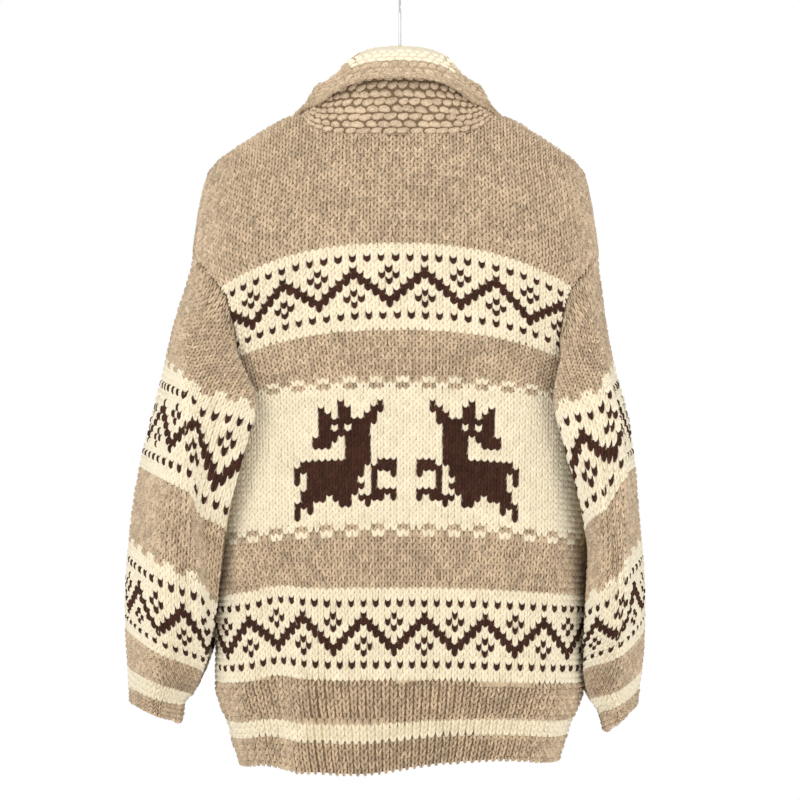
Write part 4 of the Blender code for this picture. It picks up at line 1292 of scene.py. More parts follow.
def sleeve_grid(sections, hand, rings, rows, width, columns, even=False):
    """Corner places of a sleeve's stitches: columns counted from its outer edge, back first.

    With even, the columns are spread over the whole of each row instead."""
    places = np.arange(-1, len(sections) - 1 + 0.01, SLEEVE_STEP)
    stations = np.full((2, len(places), columns + 1, 3), np.nan)
    shares = np.zeros((2, len(places), columns + 1))
    for i, place in enumerate(places):
        for half, line in enumerate(sleeve_halves(sections, hand, place, rings)):
            along = lengths_along(line)
            reach = np.arange(columns + 1) * (along[-1] / columns if even else width)
            stations[half, i] = resampled(reach, along, line)
            stations[half, i, reach > along[-1] + width * LAST_STITCH] = np.nan
            shares[half, i] = reach / along[-1]
    grid = np.full((len(rows), 2 * columns + 1, 3), np.nan)
    for i, row in enumerate(rows):
        place = float(read_off(SLEEVE_MARKS, row, "row", "section"))
        for half, direction in ((0, 1), (1, -1)):
            for k in range(columns + 1):
                share = float(np.interp(place, places, shares[half, :, k]))
                at = (place + slip(share, place, hand) + 1) / SLEEVE_STEP
                first = min(int(at), len(places) - 2)
                part = at - first
                upper, lower = stations[half, first : first + 2, k]
                grid[i, columns + direction * k] = upper * (1 - part) + lower * part
    return grid


def out_of_sleeve(cells):
    """Directions out of a sleeve at each of its stitches."""
    centre = np.nanmean(cells, axis=1, keepdims=True)
    return np.nan_to_num((cells[1:, 1:] + cells[:-1, :-1]) / 2 - centre[:-1])


def sleeve_stitches(sections, hand, rings, seed):
    """The knit stitches of one sleeve and the ribs of its cuff."""
    rows = np.arange(0, SLEEVE_RIB + 1)
    rib_rows = np.arange(SLEEVE_RIB, SLEEVE_LAST + 1)
    half = SLEEVE_HALF_STITCHES
    body = sleeve_grid(sections, hand, rings, rows, SLEEVE_STITCH, half)
    wrist = lengths_along(sleeve_halves(sections, hand, FIRST_CUFF_SECTION, rings)[0])[-1]
    ribs = 2 * round(wrist / CUFF_STITCH / 2)
    cuff = sleeve_grid(sections, hand, rings, rib_rows, CUFF_STITCH, ribs, even=True)
    yarn = np.array([[sleeve_yarn(row, place) for place in range(-half, half)]
                     for row in range(SLEEVE_RIB)])
    keep = np.ones(yarn.shape, bool)
    outward = out_of_sleeve(body)
    return joined([
        stitched(body, keep, yarn, outward, knit_stitch(), STITCH_DEPTH, seed),
        ribbed(cuff, CUFF_CREAM_ROWS, out_of_sleeve(cuff), RIB_DEPTH, seed + 1),
    ])


def sleeve_wall_yarn(places, hand):
    """The yarn of each face of a sleeve's wall, by the knit row that it lies in."""
    light = [(first, first + BAND_ROWS) for first in (SLEEVE_UPPER_BAND, SLEEVE_LOWER_BAND)]
    light.append([SLEEVE_RIB + row for row in CUFF_CREAM_ROWS])
    half = SLEEVE_COLUMNS // 2
    shares = np.abs(np.arange(SLEEVE_COLUMNS) + 0.5 - half) / half
    slots = np.full((len(places) + 1, SLEEVE_COLUMNS), HEATHER)
    for i, middle in enumerate((places[:-1] + places[1:]) / 2, 2):
        at = middle - slip(shares, middle, hand)
        row = np.interp(at, column(SLEEVE_MARKS, "section"), column(SLEEVE_MARKS, "row"))
        cream = sum((first <= row) & (row < last) for first, last in light)
        slots[i] = np.where(cream, CREAM, HEATHER)
    return slots


def sleeve_wall(name, sections, hand, rings, materials):
    """The thin wall of a sleeve, from the armhole to the cuff's edge."""
    first_outer, first_inner, turned_outer, turned_inner = rings
    places = np.linspace(0, len(sections) - 1, SLEEVE_WALL_ROWS)
    fractions = np.linspace(0, 1, SLEEVE_COLUMNS // 2 + 1)
    lines = []
    for place in places:
        rear, fore = (spread(line, fractions)
                      for line in sleeve_halves(sections, hand, place, rings))
        lines.append(np.concatenate([rear[::-1], fore[1:-1]]))
    lines = np.array(lines)
    normals = ring_normals(lines)
    sink = WALL_SINK + (RIB_SINK - WALL_SINK) * np.clip(places - CUFF_SINKS_FROM, 0, 1)

    def refined(ring):
        closed = np.concatenate([ring, ring[:1]])
        middle = len(ring) // 2
        rear, fore = (spread(line, fractions) for line in (closed[: middle + 1], closed[middle:]))
        return np.concatenate([rear, fore[1:-1]])

    sunk = [
        refined(ring + (under - ring) * depth / WALL)
        for ring, under, depth in (
            (first_outer, first_inner, 1.0), (turned_outer, turned_inner, WALL_SINK)
        )
    ]
    outer = np.concatenate([sunk, lines - normals * sink[:, None, None]])
    inner = np.concatenate([
        [refined(first_inner)], [refined(turned_inner)], lines - normals * WALL
    ])
    around = np.arange(SLEEVE_COLUMNS) / SLEEVE_COLUMNS * STITCHES_AROUND
    down = np.arange(len(outer))[:, None] * STITCHES_A_RING
    uv = np.stack(np.broadcast_arrays(around[None], down), -1)
    slots = sleeve_wall_yarn(places, hand)
    return wall_piece(name, outer, inner, slots, uv, materials, rings=True)


# ---------------------------------------------------------------- the collar

# The garter ridges of the collar, counted along its path from the neck seam: those of the stand
# and of the fold, where those of the fall end as shares of it, and which are in the light yarn.
# The last ridges of the fall are short rows. They open between two reaches, from nothing at the
# back of the neck to an even spread at the lapel.
STAND_ROWS = 5
FOLD_ROWS = 2
FALL_AT_BACK = np.array([0.4, 1.0, 1.0, 1.0])
FALL_AT_LAPEL = np.array([0.25, 0.5, 0.75, 1.0])
FALL_OPENS = (0.3, 0.6)
COLLAR_CREAM = (6, 8)
COLLAR_STITCHES = 72
COLLAR_SINK = 2.1
GARTER_SINK = 1.0
EDGE_RADIUS = 4.4
EDGE_STITCH = 6.6
EDGE_DEPTH = 2.4
EDGE_WRAP = 0.98
CORD_SINK = 1.4
CORD_SIDES = 12

# Up to where the light stripe reaches, how it slips inside the fold there, and over what way.
STRIPE_REACH = 0.24
STRIPE_SLIP = 3
STRIPE_FADE = 0.16

# Stitches of the wall's pattern for each step round and along the collar.
COLLAR_PATTERN = (1.4, 0.45)


def collar_path(seam, reach, hand):
    """The middle of the collar's wall at one station: up the stand, over the fold, down the fall.

    It comes in three parts, for the stand, the fold and the fall."""
    outer_seam, inner_seam, away = seam
    base = (outer_seam + inner_seam) / 2
    fold, free = (
        np.array([turn_at(reach, f"{line}_{axis}") for axis in "xyz"]) * (hand, 1, 1)
        for line in ("fold", "free")
    )
    roll = turn_at(reach, "roll")
    up = unit(fold - base)
    out = unit((free - fold) - ((free - fold) @ up) * up)
    top = fold - roll * up
    pull = np.linalg.norm(top - base) / 3
    t = np.linspace(0, 1, STAND_STEPS + 1)[:, None]
    stand = (
        (1 - t) ** 3 * base + 3 * (1 - t) ** 2 * t * (base + pull * away)
        + 3 * (1 - t) * t**2 * (top - pull * up) + t**3 * top
    )
    arc = np.linspace(0, math.pi, FOLD_STEPS + 1)[1:, None]
    over = top + roll * (1 - np.cos(arc)) * out + roll * np.sin(arc) * up
    fall = np.linspace(top + 2 * roll * out, free, FALL_STEPS + 1)[1:]
    return stand, over, fall


def collar_lines(backs, fronts):
    """The collar's middle as a grid from lapel to lapel, and its normals away from the neck."""
    stations = {}
    for hand in (-1, 1):
        outer, inner, away = neck_seam(to_hand(backs[hand], hand), to_hand(fronts[hand], hand))
        reaches = reach_of(lengths_along(outer), NECK_COLUMNS)
        stations[hand] = [
            (collar_path(seam, reach, hand), seam, reach)
            for seam, reach in zip(zip(outer, inner, away), reaches)
        ]
    ordered = stations[-1][::-1] + stations[1][1:]
    grid = np.array([np.concatenate(path) for path, _, _ in ordered])
    seams = [(seam[0], seam[1]) for _, seam, _ in ordered]
    reaches = np.array([reach for _, _, reach in ordered])
    normal = unit(np.cross(np.gradient(grid, axis=1), np.gradient(grid, axis=0)))
    for i, (outer, inner) in enumerate(seams):
        if normal[i, 0] @ (outer - inner) < 0:
            normal[i] *= -1
    return grid, normal, seams, reaches


def collar_ridges(grid, normal, reaches, offset):
    """Corners of the garter stitches on one face of the collar, ridges by stitches along them.

    The last ridges of the fall are short rows, which end before the back of the neck.
    Also the station, as a part number, at the middle of each stitch."""
    surface = grid + offset * normal
    index = np.arange(grid.shape[1])
    upper = np.concatenate([
        STAND_STEPS * np.arange(STAND_ROWS) / STAND_ROWS,
        STAND_STEPS + FOLD_STEPS * np.arange(FOLD_ROWS + 1) / FOLD_ROWS,
    ])
    opened = np.interp(reaches, FALL_OPENS, (0, 1))[:, None]
    shares = FALL_AT_BACK + (FALL_AT_LAPEL - FALL_AT_BACK) * opened
    lines = []
    for station, share in zip(surface, shares):
        places = np.append(upper, STAND_STEPS + FOLD_STEPS + FALL_STEPS * share)
        lines.append(resampled(places, index, station))
    lines = np.array(lines).swapaxes(0, 1)
    reference = lengths_along(lines[STAND_ROWS])
    wanted = np.linspace(0, reference[-1], COLLAR_STITCHES + 1)
    ridges = np.array([resampled(wanted, reference, line) for line in lines])
    painted_shade = (wanted[1:] + wanted[:-1]) / 2
    return ridges, np.interp(painted_shade, reference, np.arange(len(reference)))


def collar_wall(name, grid, normal, seams, reaches, materials):
    """The thin closed wall of the collar, thinner at its sewn edge."""
    half = COLLAR_WALL / 2 - COLLAR_SINK
    outer = grid + half * normal
    inner = grid - half * normal
    for i, (seam_outer, seam_inner) in enumerate(seams):
        outer[i, 0] = seam_outer
        inner[i, 0] = seam_inner
    uv = np.moveaxis(np.indices(grid.shape[:2]), 0, -1) * COLLAR_PATTERN
    slots = np.zeros((len(grid) - 1, grid.shape[1] - 1), int)
    cream_from = STAND_STEPS + (COLLAR_CREAM[0] - STAND_ROWS) * FOLD_STEPS / FOLD_ROWS
    cream_to = STAND_STEPS + FOLD_STEPS + FALL_STEPS * FALL_AT_BACK[0]
    slots[reaches[:-1] < STRIPE_REACH, int(cream_from) : int(cream_to)] = CREAM
    return wall_piece(name, outer, inner, slots, uv, materials)


def collar_edge(grid, normal, seed):
    """The rolled cast-off edge along the free side of the fall: a chain of stitches on a cord."""
    centre = grid[:, -1]
    down = unit(grid[:, -1] - grid[:, -3])
    along = lengths_along(centre)
    at = np.linspace(0, along[-1], int(along[-1] / EDGE_STITCH) + 1)
    line, fall, face = (resampled(at, along, values) for values in (centre, down, normal[:, -1]))

    def around(angles, radius):
        return (
            line[:, None] + radius * np.cos(angles)[None, :, None] * fall[:, None]
            + radius * np.sin(angles)[None, :, None] * face[:, None]
        )

    core = around(np.linspace(0, 2 * math.pi, CORD_SIDES, endpoint=False), EDGE_RADIUS - CORD_SINK)
    number = np.arange(len(core) * CORD_SIDES).reshape(len(core), CORD_SIDES)
    number = np.concatenate([number, number[:, :1]], axis=1)
    quads = np.stack([number[:-1, :-1], number[:-1, 1:], number[1:, 1:], number[1:, :-1]], -1)
    faces = quads.reshape(-1, 4).tolist()
    for ring in (number[0, :-1], number[-1, :-1]):
        faces += [(ring[0], *ring[i : i + 3]) for i in range(1, CORD_SIDES - 2, 2)]
    uv = np.tile([(0.0, 0.0), (0.0, 1.0), (1.0, 1.0), (1.0, 0.0)], (len(faces), 1))
    cord = (core.reshape(-1, 3), np.array(faces), np.full(len(faces), HEATHER), uv,
            np.full(len(faces), 0.5))
    cells = around(np.linspace(-math.pi, math.pi, 5) * EDGE_WRAP, EDGE_RADIUS)
    keep = np.ones((len(cells) - 1, 4), bool)
    yarn = np.full(keep.shape, HEATHER)
    outward = (cells[1:, 1:] + cells[:-1, :-1]) / 2 - line[:-1, None]
    return joined([
        cord, stitched(cells, keep, yarn, outward, knit_stitch(), EDGE_DEPTH, seed)
    ])


def stripe_shift(reach):
    """How many ridges the light stripe slips inside the fold towards the sides of the neck."""
    return STRIPE_SLIP * smooth_step(np.clip((reach - STRIPE_REACH) / STRIPE_FADE, 0, 1))


def collar_stitches(grid, normal, reaches, seed):
    """The garter ridges of both faces of the collar, and its rolled edge."""
    made = []
    for face in (1, -1):
        ridges, at = collar_ridges(grid, normal, reaches, face * (COLLAR_WALL / 2 - GARTER_SINK))
        keep = np.ones((ridges.shape[0] - 1, ridges.shape[1] - 1), bool)
        reach = np.interp(at, np.arange(len(reaches)), reaches)
        number = np.arange(len(keep))[:, None] + stripe_shift(reach)
        first, last = COLLAR_CREAM
        yarn = np.where((first <= number) & (number < last), CREAM, HEATHER)
        outward = (ridges - collar_ridges(grid, normal, reaches, 0.0)[0])[:-1, :-1]
        made.append(
            stitched(ridges, keep, yarn, outward, garter_stitch(), GARTER_DEPTH, seed + face)
        )
    made.append(collar_edge(grid, normal, seed + 2))
    return joined(made)


# ---------------------------------------------------------------- the front bands


BAND_TOP = COLLAR[-1].fold_z - 9
BAND_CELLS = (60, 12)
BAND_STITCH_ROWS = 80
BAND_STITCH_DEPTH = 2.8
BAND_STITCH_SINK = 0.4
BAND_PATTERN = 6.0


def band_surface(x_from, x_to, lift, rows, columns):
    """A grid of points over a front band, from the lapel to the hem."""
    across = np.linspace(x_from, x_to, columns + 1)
    lines = []
    for step in np.linspace(0, 1, rows + 1):
        z = BAND_TOP + (hem_height(across) - BAND_TOP) * step
        depth = body_depth(np.zeros(len(across)), z, 1)
        lines.append(np.stack([across, depth + lift, z], 1))
    return np.array(lines)


def band_pieces(name, x_from, x_to, lift, ribs, yarns, lining, seed):
    """A front band: its thin wall, and the raised knit columns of its rib."""
    grid = band_surface(x_from, x_to, lift - WALL_SINK, *BAND_CELLS)
    inner = grid - (0, WALL - WALL_SINK, 0)
    uv = np.stack([grid[..., 0] / BAND_PATTERN, grid[..., 2] / YOKE_ROW_HEIGHT], -1)
    slots = np.full(BAND_CELLS, HEATHER)
    wall = wall_piece(f"{name}_cloth", grid, inner, slots, uv, lining)
    cells = band_surface(x_from, x_to, lift - BAND_STITCH_SINK, BAND_STITCH_ROWS, 2 * ribs + 1)
    raised = ribbed(cells, (0, 0), (0.0, 1.0, 0.0), BAND_STITCH_DEPTH, seed)
    return wall, mesh_piece(f"{name}_stitches", raised, yarns)


# ---------------------------------------------------------------- hard pieces


def only(obj):
    """Makes this the one selected and active object."""
    bpy.ops.object.select_all(action="DESELECT")
    obj.select_set(True)
    bpy.context.view_layer.objects.active = obj
    return obj


def added(add, **settings):
    """The object that an operator adds, with everything else deselected first."""
    bpy.ops.object.select_all(action="DESELECT")
    add(**settings)
    return bpy.context.object


def finished(obj, angle, material):
    """The object in its one material, smooth over edges that are flatter than this angle."""
    only(obj)
    bpy.ops.object.shade_smooth_by_angle(angle=math.radians(angle))
    obj.data.materials.clear()
    obj.data.materials.append(material)
    return obj


def rise_of(edge):
    """How far an edge rises."""
    return abs(edge.verts[0].co.z - edge.verts[1].co.z)


def button_heights():
    first = COLLAR[-1].fold_z - FIRST_BUTTON_DROP
    return np.linspace(first, HEM[4].z + LAST_BUTTON_RISE, BUTTON_COUNT)


def button_face(z):
    """y of the outer band's face under a button."""
    covered = z + np.linspace(-BUTTON_RADIUS, BUTTON_RADIUS, 5)
    depth = float(body_depth(np.zeros(5), covered, 1).max())
    return depth + BAND_LIFT + STITCH_TOP + REST_GAP


def horn_button(name, z, material, thread):
    """A turned button: a sunk middle with two sewing holes inside a rounded rim."""
    face = button_face(z)
    shift = float(read_off(LEAN, z, "z", "shift"))
    obj = added(
        bpy.ops.mesh.primitive_cylinder_add,
        vertices=48, radius=BUTTON_RADIUS * MM, depth=BUTTON_THICKNESS * MM,
    )
    obj.name = f"{name}_horn"
    with edited(obj) as mesh:
        top = [max(mesh.faces, key=lambda side: side.calc_center_median().z)]
        bmesh.ops.inset_region(mesh, faces=top, thickness=BUTTON_RIM * MM, depth=0)
        bmesh.ops.inset_region(
            mesh, faces=top, thickness=BUTTON_SLOPE * MM, depth=-BUTTON_HOLLOW * MM
        )
        rim = [
            edge for edge in mesh.edges
            if rise_of(edge) < 1e-7
            and min(v.co.xy.length for v in edge.verts) > (BUTTON_RADIUS - 0.2) * MM
        ]
        bmesh.ops.bevel(
            mesh, geom=rim, offset=BUTTON_BEVEL * MM, segments=4, profile=0.5, affect="EDGES"
        )
    for offset in (-HOLE_OFFSET, HOLE_OFFSET):
        cutter = added(
            bpy.ops.mesh.primitive_cylinder_add,
            vertices=20, radius=HOLE_RADIUS * MM, depth=20 * MM, location=(offset * MM, 0, 0),
        )
        only(obj)
        cut = obj.modifiers.new("hole", "BOOLEAN")
        cut.operation = "DIFFERENCE"
        cut.solver = "EXACT"
        cut.object = cutter
        bpy.ops.object.modifier_apply(modifier=cut.name)
        bpy.data.objects.remove(cutter, do_unlink=True)
    only(obj)
    obj.rotation_euler = (-math.pi / 2, 0, 0)
    obj.location = (shift * MM, (face + BUTTON_THICKNESS / 2) * MM, z * MM)
    bpy.ops.object.transform_apply(location=True, rotation=True, scale=True)
    finished(obj, 35, material)
    sewn = thread_loop(f"{name}_thread", shift, face, z, thread)
    for piece in (obj, sewn):
        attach(piece, "root")
    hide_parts(name)
    return obj


def wire(name, points, radius, material, resolution):
    """A round bar along a line of points in millimetres, made a mesh with smooth sides."""
    curve = bpy.data.curves.new(name, "CURVE")
    curve.dimensions = "3D"
    curve.bevel_depth = radius * MM
    curve.bevel_resolution = resolution
    curve.use_fill_caps = True
    spline = curve.splines.new("POLY")
    spline.points.add(len(points) - 1)
    for point, place in zip(spline.points, points):
        point.co = (place[0] * MM, place[1] * MM, place[2] * MM, 1)
    obj = bpy.data.objects.new(name, curve)
    bpy.context.scene.collection.objects.link(obj)
    only(obj)
    bpy.ops.object.convert(target="MESH")
    obj = bpy.context.object
    with edited(obj) as mesh:
        bmesh.ops.remove_doubles(mesh, verts=mesh.verts, dist=WIRE_MERGE * MM)
    return finished(obj, 40, material)


def thread_loop(name, shift, face, z, material):
    """The yarn that sews a button on, in and out of its two holes."""
    crest = face + BUTTON_THICKNESS - THREAD_SUNK
    foot = face + THREAD_FOOT
    path = [(shift - HOLE_OFFSET, foot, z)]
    for angle in np.linspace(0, math.pi, 13):
        rise = THREAD_RISE * math.sin(angle)
        path.append((shift - HOLE_OFFSET * math.cos(angle), crest + rise, z))
    path.append((shift + HOLE_OFFSET, foot, z))
    return wire(name, path, THREAD_RADIUS, material, 2)


def hanger_bar(name, back_half, material):
    """The hanger: a smooth oval bar that follows the seams of the shoulders, with round ends."""
    line = hanger_top_line(back_half)
    tangent = np.gradient(line, axis=0)
    tangent[0] = (1, 0)
    tangent = unit(tangent)
    inward = np.stack([tangent[:, 1], -tangent[:, 0]], 1)
    middle = line + inward * HANGER_HALF_HEIGHT
    middle[0] = (0, CROWN_TOP - HANGER_HALF_HEIGHT)
    down, full = (
        np.concatenate([half[::-1] * (-1, 1), half[1:]]) for half in (inward, middle)
    )
    along = lengths_along(full)
    at = np.linspace(0, along[-1], HANGER_STEPS + 1)
    full = resampled(at, along, full)
    down = unit(resampled(at, along, down))
    to_end = np.minimum(at, along[-1] - at)
    taper = np.sqrt(1 - (1 - np.clip(to_end / HANGER_ROUND_END, 0, 1)) ** 2)
    taper = np.maximum(taper, HANGER_LEAST_TAPER)
    obj = added(
        bpy.ops.mesh.primitive_cylinder_add,
        vertices=HANGER_SIDES, radius=1, depth=1, end_fill_type="NGON",
    )
    obj.name = name
    with edited(obj) as mesh:
        tube = [edge for edge in mesh.edges if rise_of(edge) > 0.5]
        bmesh.ops.subdivide_edges(mesh, edges=tube, cuts=HANGER_STEPS - 1)
        for vert in mesh.verts:
            step = int(round((vert.co.z + 0.5) * HANGER_STEPS))
            angle = math.atan2(vert.co.y, vert.co.x)
            up = HANGER_HALF_HEIGHT * taper[step] * math.cos(angle)
            wide = HANGER_HALF_THICKNESS * taper[step] * math.sin(angle)
            x, z = full[step] - down[step] * up
            vert.co = (x * MM, wide * MM, z * MM)
        bmesh.ops.recalc_face_normals(mesh, faces=mesh.faces)
    return finished(obj, 50, material)


def hook_points():
    """The middle of the hook's wire: a straight shank that sweeps round into an open loop."""
    radius = HOOK_INNER_RADIUS + HOOK_WIRE_RADIUS
    centre = -HOOK_INNER_RADIUS
    low = centre - radius
    shank = [
        (0.0, CROWN_TOP - HOOK_IN_WOOD), (0.0, CROWN_TOP + 14), (0.0, low - 14), (0.0, low - 6),
        (2.2, low - 1.6),
    ]
    sweep = [
        (radius * math.cos(angle), centre + radius * math.sin(angle))
        for angle in np.radians(np.linspace(*HOOK_SWEEP, 60))
    ]
    y, z = fine_line(shank + sweep, 90).T
    return np.stack([0 * y, y, z], 1)


# ---------------------------------------------------------------- materials


def set_inputs(target, values):
    for name, value in values.items():
        target.inputs[name].default_value = value


def node(tree, kind, **inputs):
    """A shader node of this kind, with its constant inputs set."""
    made = tree.nodes.new(f"ShaderNode{kind}")
    set_inputs(made, {name.replace("_", " "): value for name, value in inputs.items()})
    return made


def link(tree, source, output, target, socket):
    tree.links.new(source.outputs[output], target.inputs[socket])


def new_material(name):
    """An empty material of this name, its tree of nodes and its shader."""
    material = bpy.data.materials.new(name)
    material.use_nodes = True
    return material, material.node_tree, material.node_tree.nodes["Principled BSDF"]


def ramp(tree, stops):
    """A colour ramp through stops of position and colour."""
    made = node(tree, "ValToRGB")
    elements = made.color_ramp.elements
    elements[0].position, elements[0].color = stops[0]
    elements[1].position, elements[1].color = stops[-1]
    for position, color in stops[1:-1]:
        elements.new(position).color = color
    return made


def shade(color, factor):
    """The colour made lighter or darker."""
    return tuple(min(1.0, channel * factor) for channel in color[:3]) + (1.0,)


def yarn_material(name, color, marl, darker, ground=False):
    """Soft handspun yarn: uneven tone along it, fine fibres, and a nap that catches the light."""
    material, tree, shader = new_material(name)
    place = node(tree, "TexCoord")
    broad = node(tree, "TexNoise", Scale=22.0, Detail=3.0, Roughness=0.6)
    fine = node(tree, "TexNoise", Scale=520.0, Detail=3.0, Roughness=0.7)
    link(tree, place, "Object", broad, "Vector")
    link(tree, place, "Object", fine, "Vector")
    strand = node(tree, "Attribute")
    strand.attribute_name = "tone"
    total = None
    for source, share in ((broad, 0.3), (fine, 1.35), (strand, 0.3)):
        part = node(tree, "Math")
        part.operation = "MULTIPLY_ADD"
        part.inputs[1].default_value = share
        part.inputs[2].default_value = -0.5 * share if total else 0.5 - 0.5 * share
        link(tree, source, "Fac", part, 0)
        if total:
            both = node(tree, "Math")
            both.operation = "ADD"
            link(tree, total, 0, both, 0)
            link(tree, part, 0, both, 1)
            part = both
        total = part
    # With darker under one, the whole copy is painted darker: painted shade for the cloth between
    # stitches and for the inner side.
    tones = ramp(tree, [
        (0.22, shade(color, darker * (1 - marl))), (0.5, shade(color, darker)),
        (0.78, shade(color, darker * (1 + marl))),
    ])
    link(tree, total, 0, tones, "Fac")
    link(tree, tones, "Color", shader, "Base Color")
    set_inputs(shader, {
        "Roughness": 0.95, "Specular IOR Level": 0.15, "Sheen Weight": 0.0 if ground else 0.25,
        "Sheen Roughness": 0.6, "Sheen Tint": shade(color, 1.2),
    })
    uv = node(tree, "UVMap")
    uv.uv_map = "yarn"
    if ground:
        pattern = node(
            tree, "TexBrick", Scale=1.0, Mortar_Size=0.16, Mortar_Smooth=1.0, Brick_Width=0.5,
            Row_Height=0.5,
        )
        distance = -0.0012
    else:
        pattern = node(tree, "TexWave", Scale=1.1, Distortion=1.2, Detail=2.0, Detail_Scale=2.0)
        pattern.bands_direction = "DIAGONAL"
        distance = 0.0004
    twist = node(tree, "Bump", Strength=0.55, Distance=distance)
    fibres = node(tree, "TexNoise", Scale=900.0, Detail=2.0)
    nap = node(tree, "Bump", Strength=0.5, Distance=0.0004)
    link(tree, uv, "UV", pattern, "Vector")
    link(tree, place, "Object", fibres, "Vector")
    link(tree, pattern, "Fac", twist, "Height")
    link(tree, fibres, "Fac", nap, "Height")
    link(tree, twist, "Normal", nap, "Normal")
    link(tree, nap, "Normal", shader, "Normal")
    return material


def grained_material(name, light, dark, scale, roughness, coat=0.0, metallic=0.0):
    """A material with long soft streaks between two colours, as in wood, horn or drawn wire."""
    material, tree, shader = new_material(name)
    place = node(tree, "TexCoord")
    stretch = node(tree, "Mapping", Scale=scale)
    streaks = node(tree, "TexNoise", Scale=60.0, Detail=4.0, Distortion=0.6)
    tones = ramp(tree, [(0.35, dark), (0.65, light)])
    bump = node(tree, "Bump", Strength=0.15, Distance=0.0002)
    link(tree, place, "Object", stretch, "Vector")
    link(tree, stretch, "Vector", streaks, "Vector")
    link(tree, streaks, "Fac", tones, "Fac")
    link(tree, tones, "Color", shader, "Base Color")
    link(tree, streaks, "Fac", bump, "Height")
    link(tree, bump, "Normal", shader, "Normal")
    set_inputs(shader, {"Roughness": roughness, "Metallic": metallic, "Coat Weight": coat})
    return material


def plain_material(name, color, roughness):
    """A material of one colour."""
    material, _, shader = new_material(name)
    set_inputs(shader, {"Base Color": color, "Roughness": roughness})
    return material


def existing(name, make):
    """The material of this name, made the first time that it is asked for."""
    found = bpy.data.materials.get(name)
    return found if found is not None else make()


def wools(sizes, side=""):
    """The heather, cream and dark yarns, in the order of their slots.

    side picks a darker copy of each, painted shade: one for the cloth between raised stitches,
    warmer as well, and one, a little less dark, for its inner side."""
    made = []
    for word, color, marl, painted_shade in (
        ("heather", sizes.heather, 0.42, 0.35), ("cream", sizes.cream, 0.07, 0.75),
        ("dark", sizes.dark, 0.4, 0.8),
    ):
        # The copy for the cloth between raised stitches is painted darker and warmer, as painted
        # shade between the stitches; the copy for the inner side is painted a little darker, also
        # painted shade.
        tint = (1.05, 0.95, 0.82) if side == "ground" else (1.0, 1.0, 1.0)
        value = (*(channel * by for channel, by in zip(color, tint)), 1.0)
        share = {"": 1.0, "ground": painted_shade, "reverse": 0.85}[side]
        name = f"{word}_wool_{side}" if side else f"{word}_wool"
        made.append(existing(name, lambda values=(name, value, marl, share): yarn_material(
            *values, bool(side)
        )))
    return made


def knit_wools(sizes):
    """The materials of a piece's stitches, and those of its wall."""
    yarns = wools(sizes)
    # The wall and the patches behind the stitches take the darker copies, painted shade.
    ground = wools(sizes, "ground")
    return yarns + ground, ground + wools(sizes, "reverse")


# ---------------------------------------------------------------- whole pieces


def cut_panels():
    """The half panels of the back and the fronts, by hand."""
    back_top = plain_columns(BACK_NECK, NECK_COLUMNS, BACK_HALF_COLUMNS)
    front_top = plain_columns(LAPEL_EDGE, LAPEL_COLUMNS, BACK_HALF_COLUMNS)
    backs = {hand: half_panel(-1, hand, back_top, 0.0) for hand in (-1, 1)}
    fronts = {hand: half_panel(1, hand, front_top, BAND_HALF_WIDTH) for hand in (-1, 1)}
    return backs, fronts


def declare(cad_node):
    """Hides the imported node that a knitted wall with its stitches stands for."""
    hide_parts(cad_node)


class CardiganSizes(bpy.types.PropertyGroup):
    """Sizes and colours of the cardigan's looks."""

    stitch_seed: IntProperty(
        name="Stitch seed", description="Chooses the small unevenness of the stitches",
        default=7, min=0, max=1000,
    )
    floor_drop: FloatProperty(
        name="Floor drop", description="How far the floor lies below the hook",
        default=1.6, min=1.0, max=3.0, unit="LENGTH", subtype="DISTANCE",
    )
    heather: FloatVectorProperty(
        name="Heather", description="Colour of the main yarn", subtype="COLOR", size=3,
        default=(0.55, 0.424, 0.292), min=0, max=1,
    )
    cream: FloatVectorProperty(
        name="Cream", description="Colour of the light yarn", subtype="COLOR", size=3,
        default=(0.85, 0.765, 0.59), min=0, max=1,
    )
    dark: FloatVectorProperty(
        name="Dark", description="Colour of the dark yarn", subtype="COLOR", size=3,
        default=(0.06, 0.025, 0.016), min=0, max=1,
    )


class CARDIGAN_OT_panels(bpy.types.Operator):
    """Knit the back and the two fronts"""

    bl_idname = "cardigan.panels"
    bl_label = "Knit the back and fronts"

    def execute(self, context):
        sizes = context.scene.cardigan_sizes
        yarns, lining = knit_wools(sizes)
        backs, fronts = cut_panels()
        seed = sizes.stitch_seed
        wall = panel_wall("back_cloth", both_hands(backs[1], backs[-1]), -1, lining)
        knit = panel_stitches(-1, 0, -0.5, 0.0, BACK_NECK, True, seed)
        rib = rib_stitches(-1, 0, 0.0, seed + 1)
        seams = [shoulder_seam(hand, seed + 11 + hand) for hand in (-1, 1)]
        stitches = mesh_piece("back_stitches", joined([knit, rib, *seams]), yarns)
        declare("back")
        for hand, name in ((-1, "left_front"), (1, "right_front")):
            wall = panel_wall(f"{name}_cloth", to_hand(fronts[hand], hand), 1, lining)
            knit = panel_stitches(1, hand, 0, BAND_HALF_WIDTH, LAPEL_EDGE, False, seed + 2)
            rib = rib_stitches(1, hand, BAND_HALF_WIDTH, seed + 3)
            stitches = mesh_piece(f"{name}_stitches", joined([knit, rib]), yarns)
            declare(name)
        return {"FINISHED"}


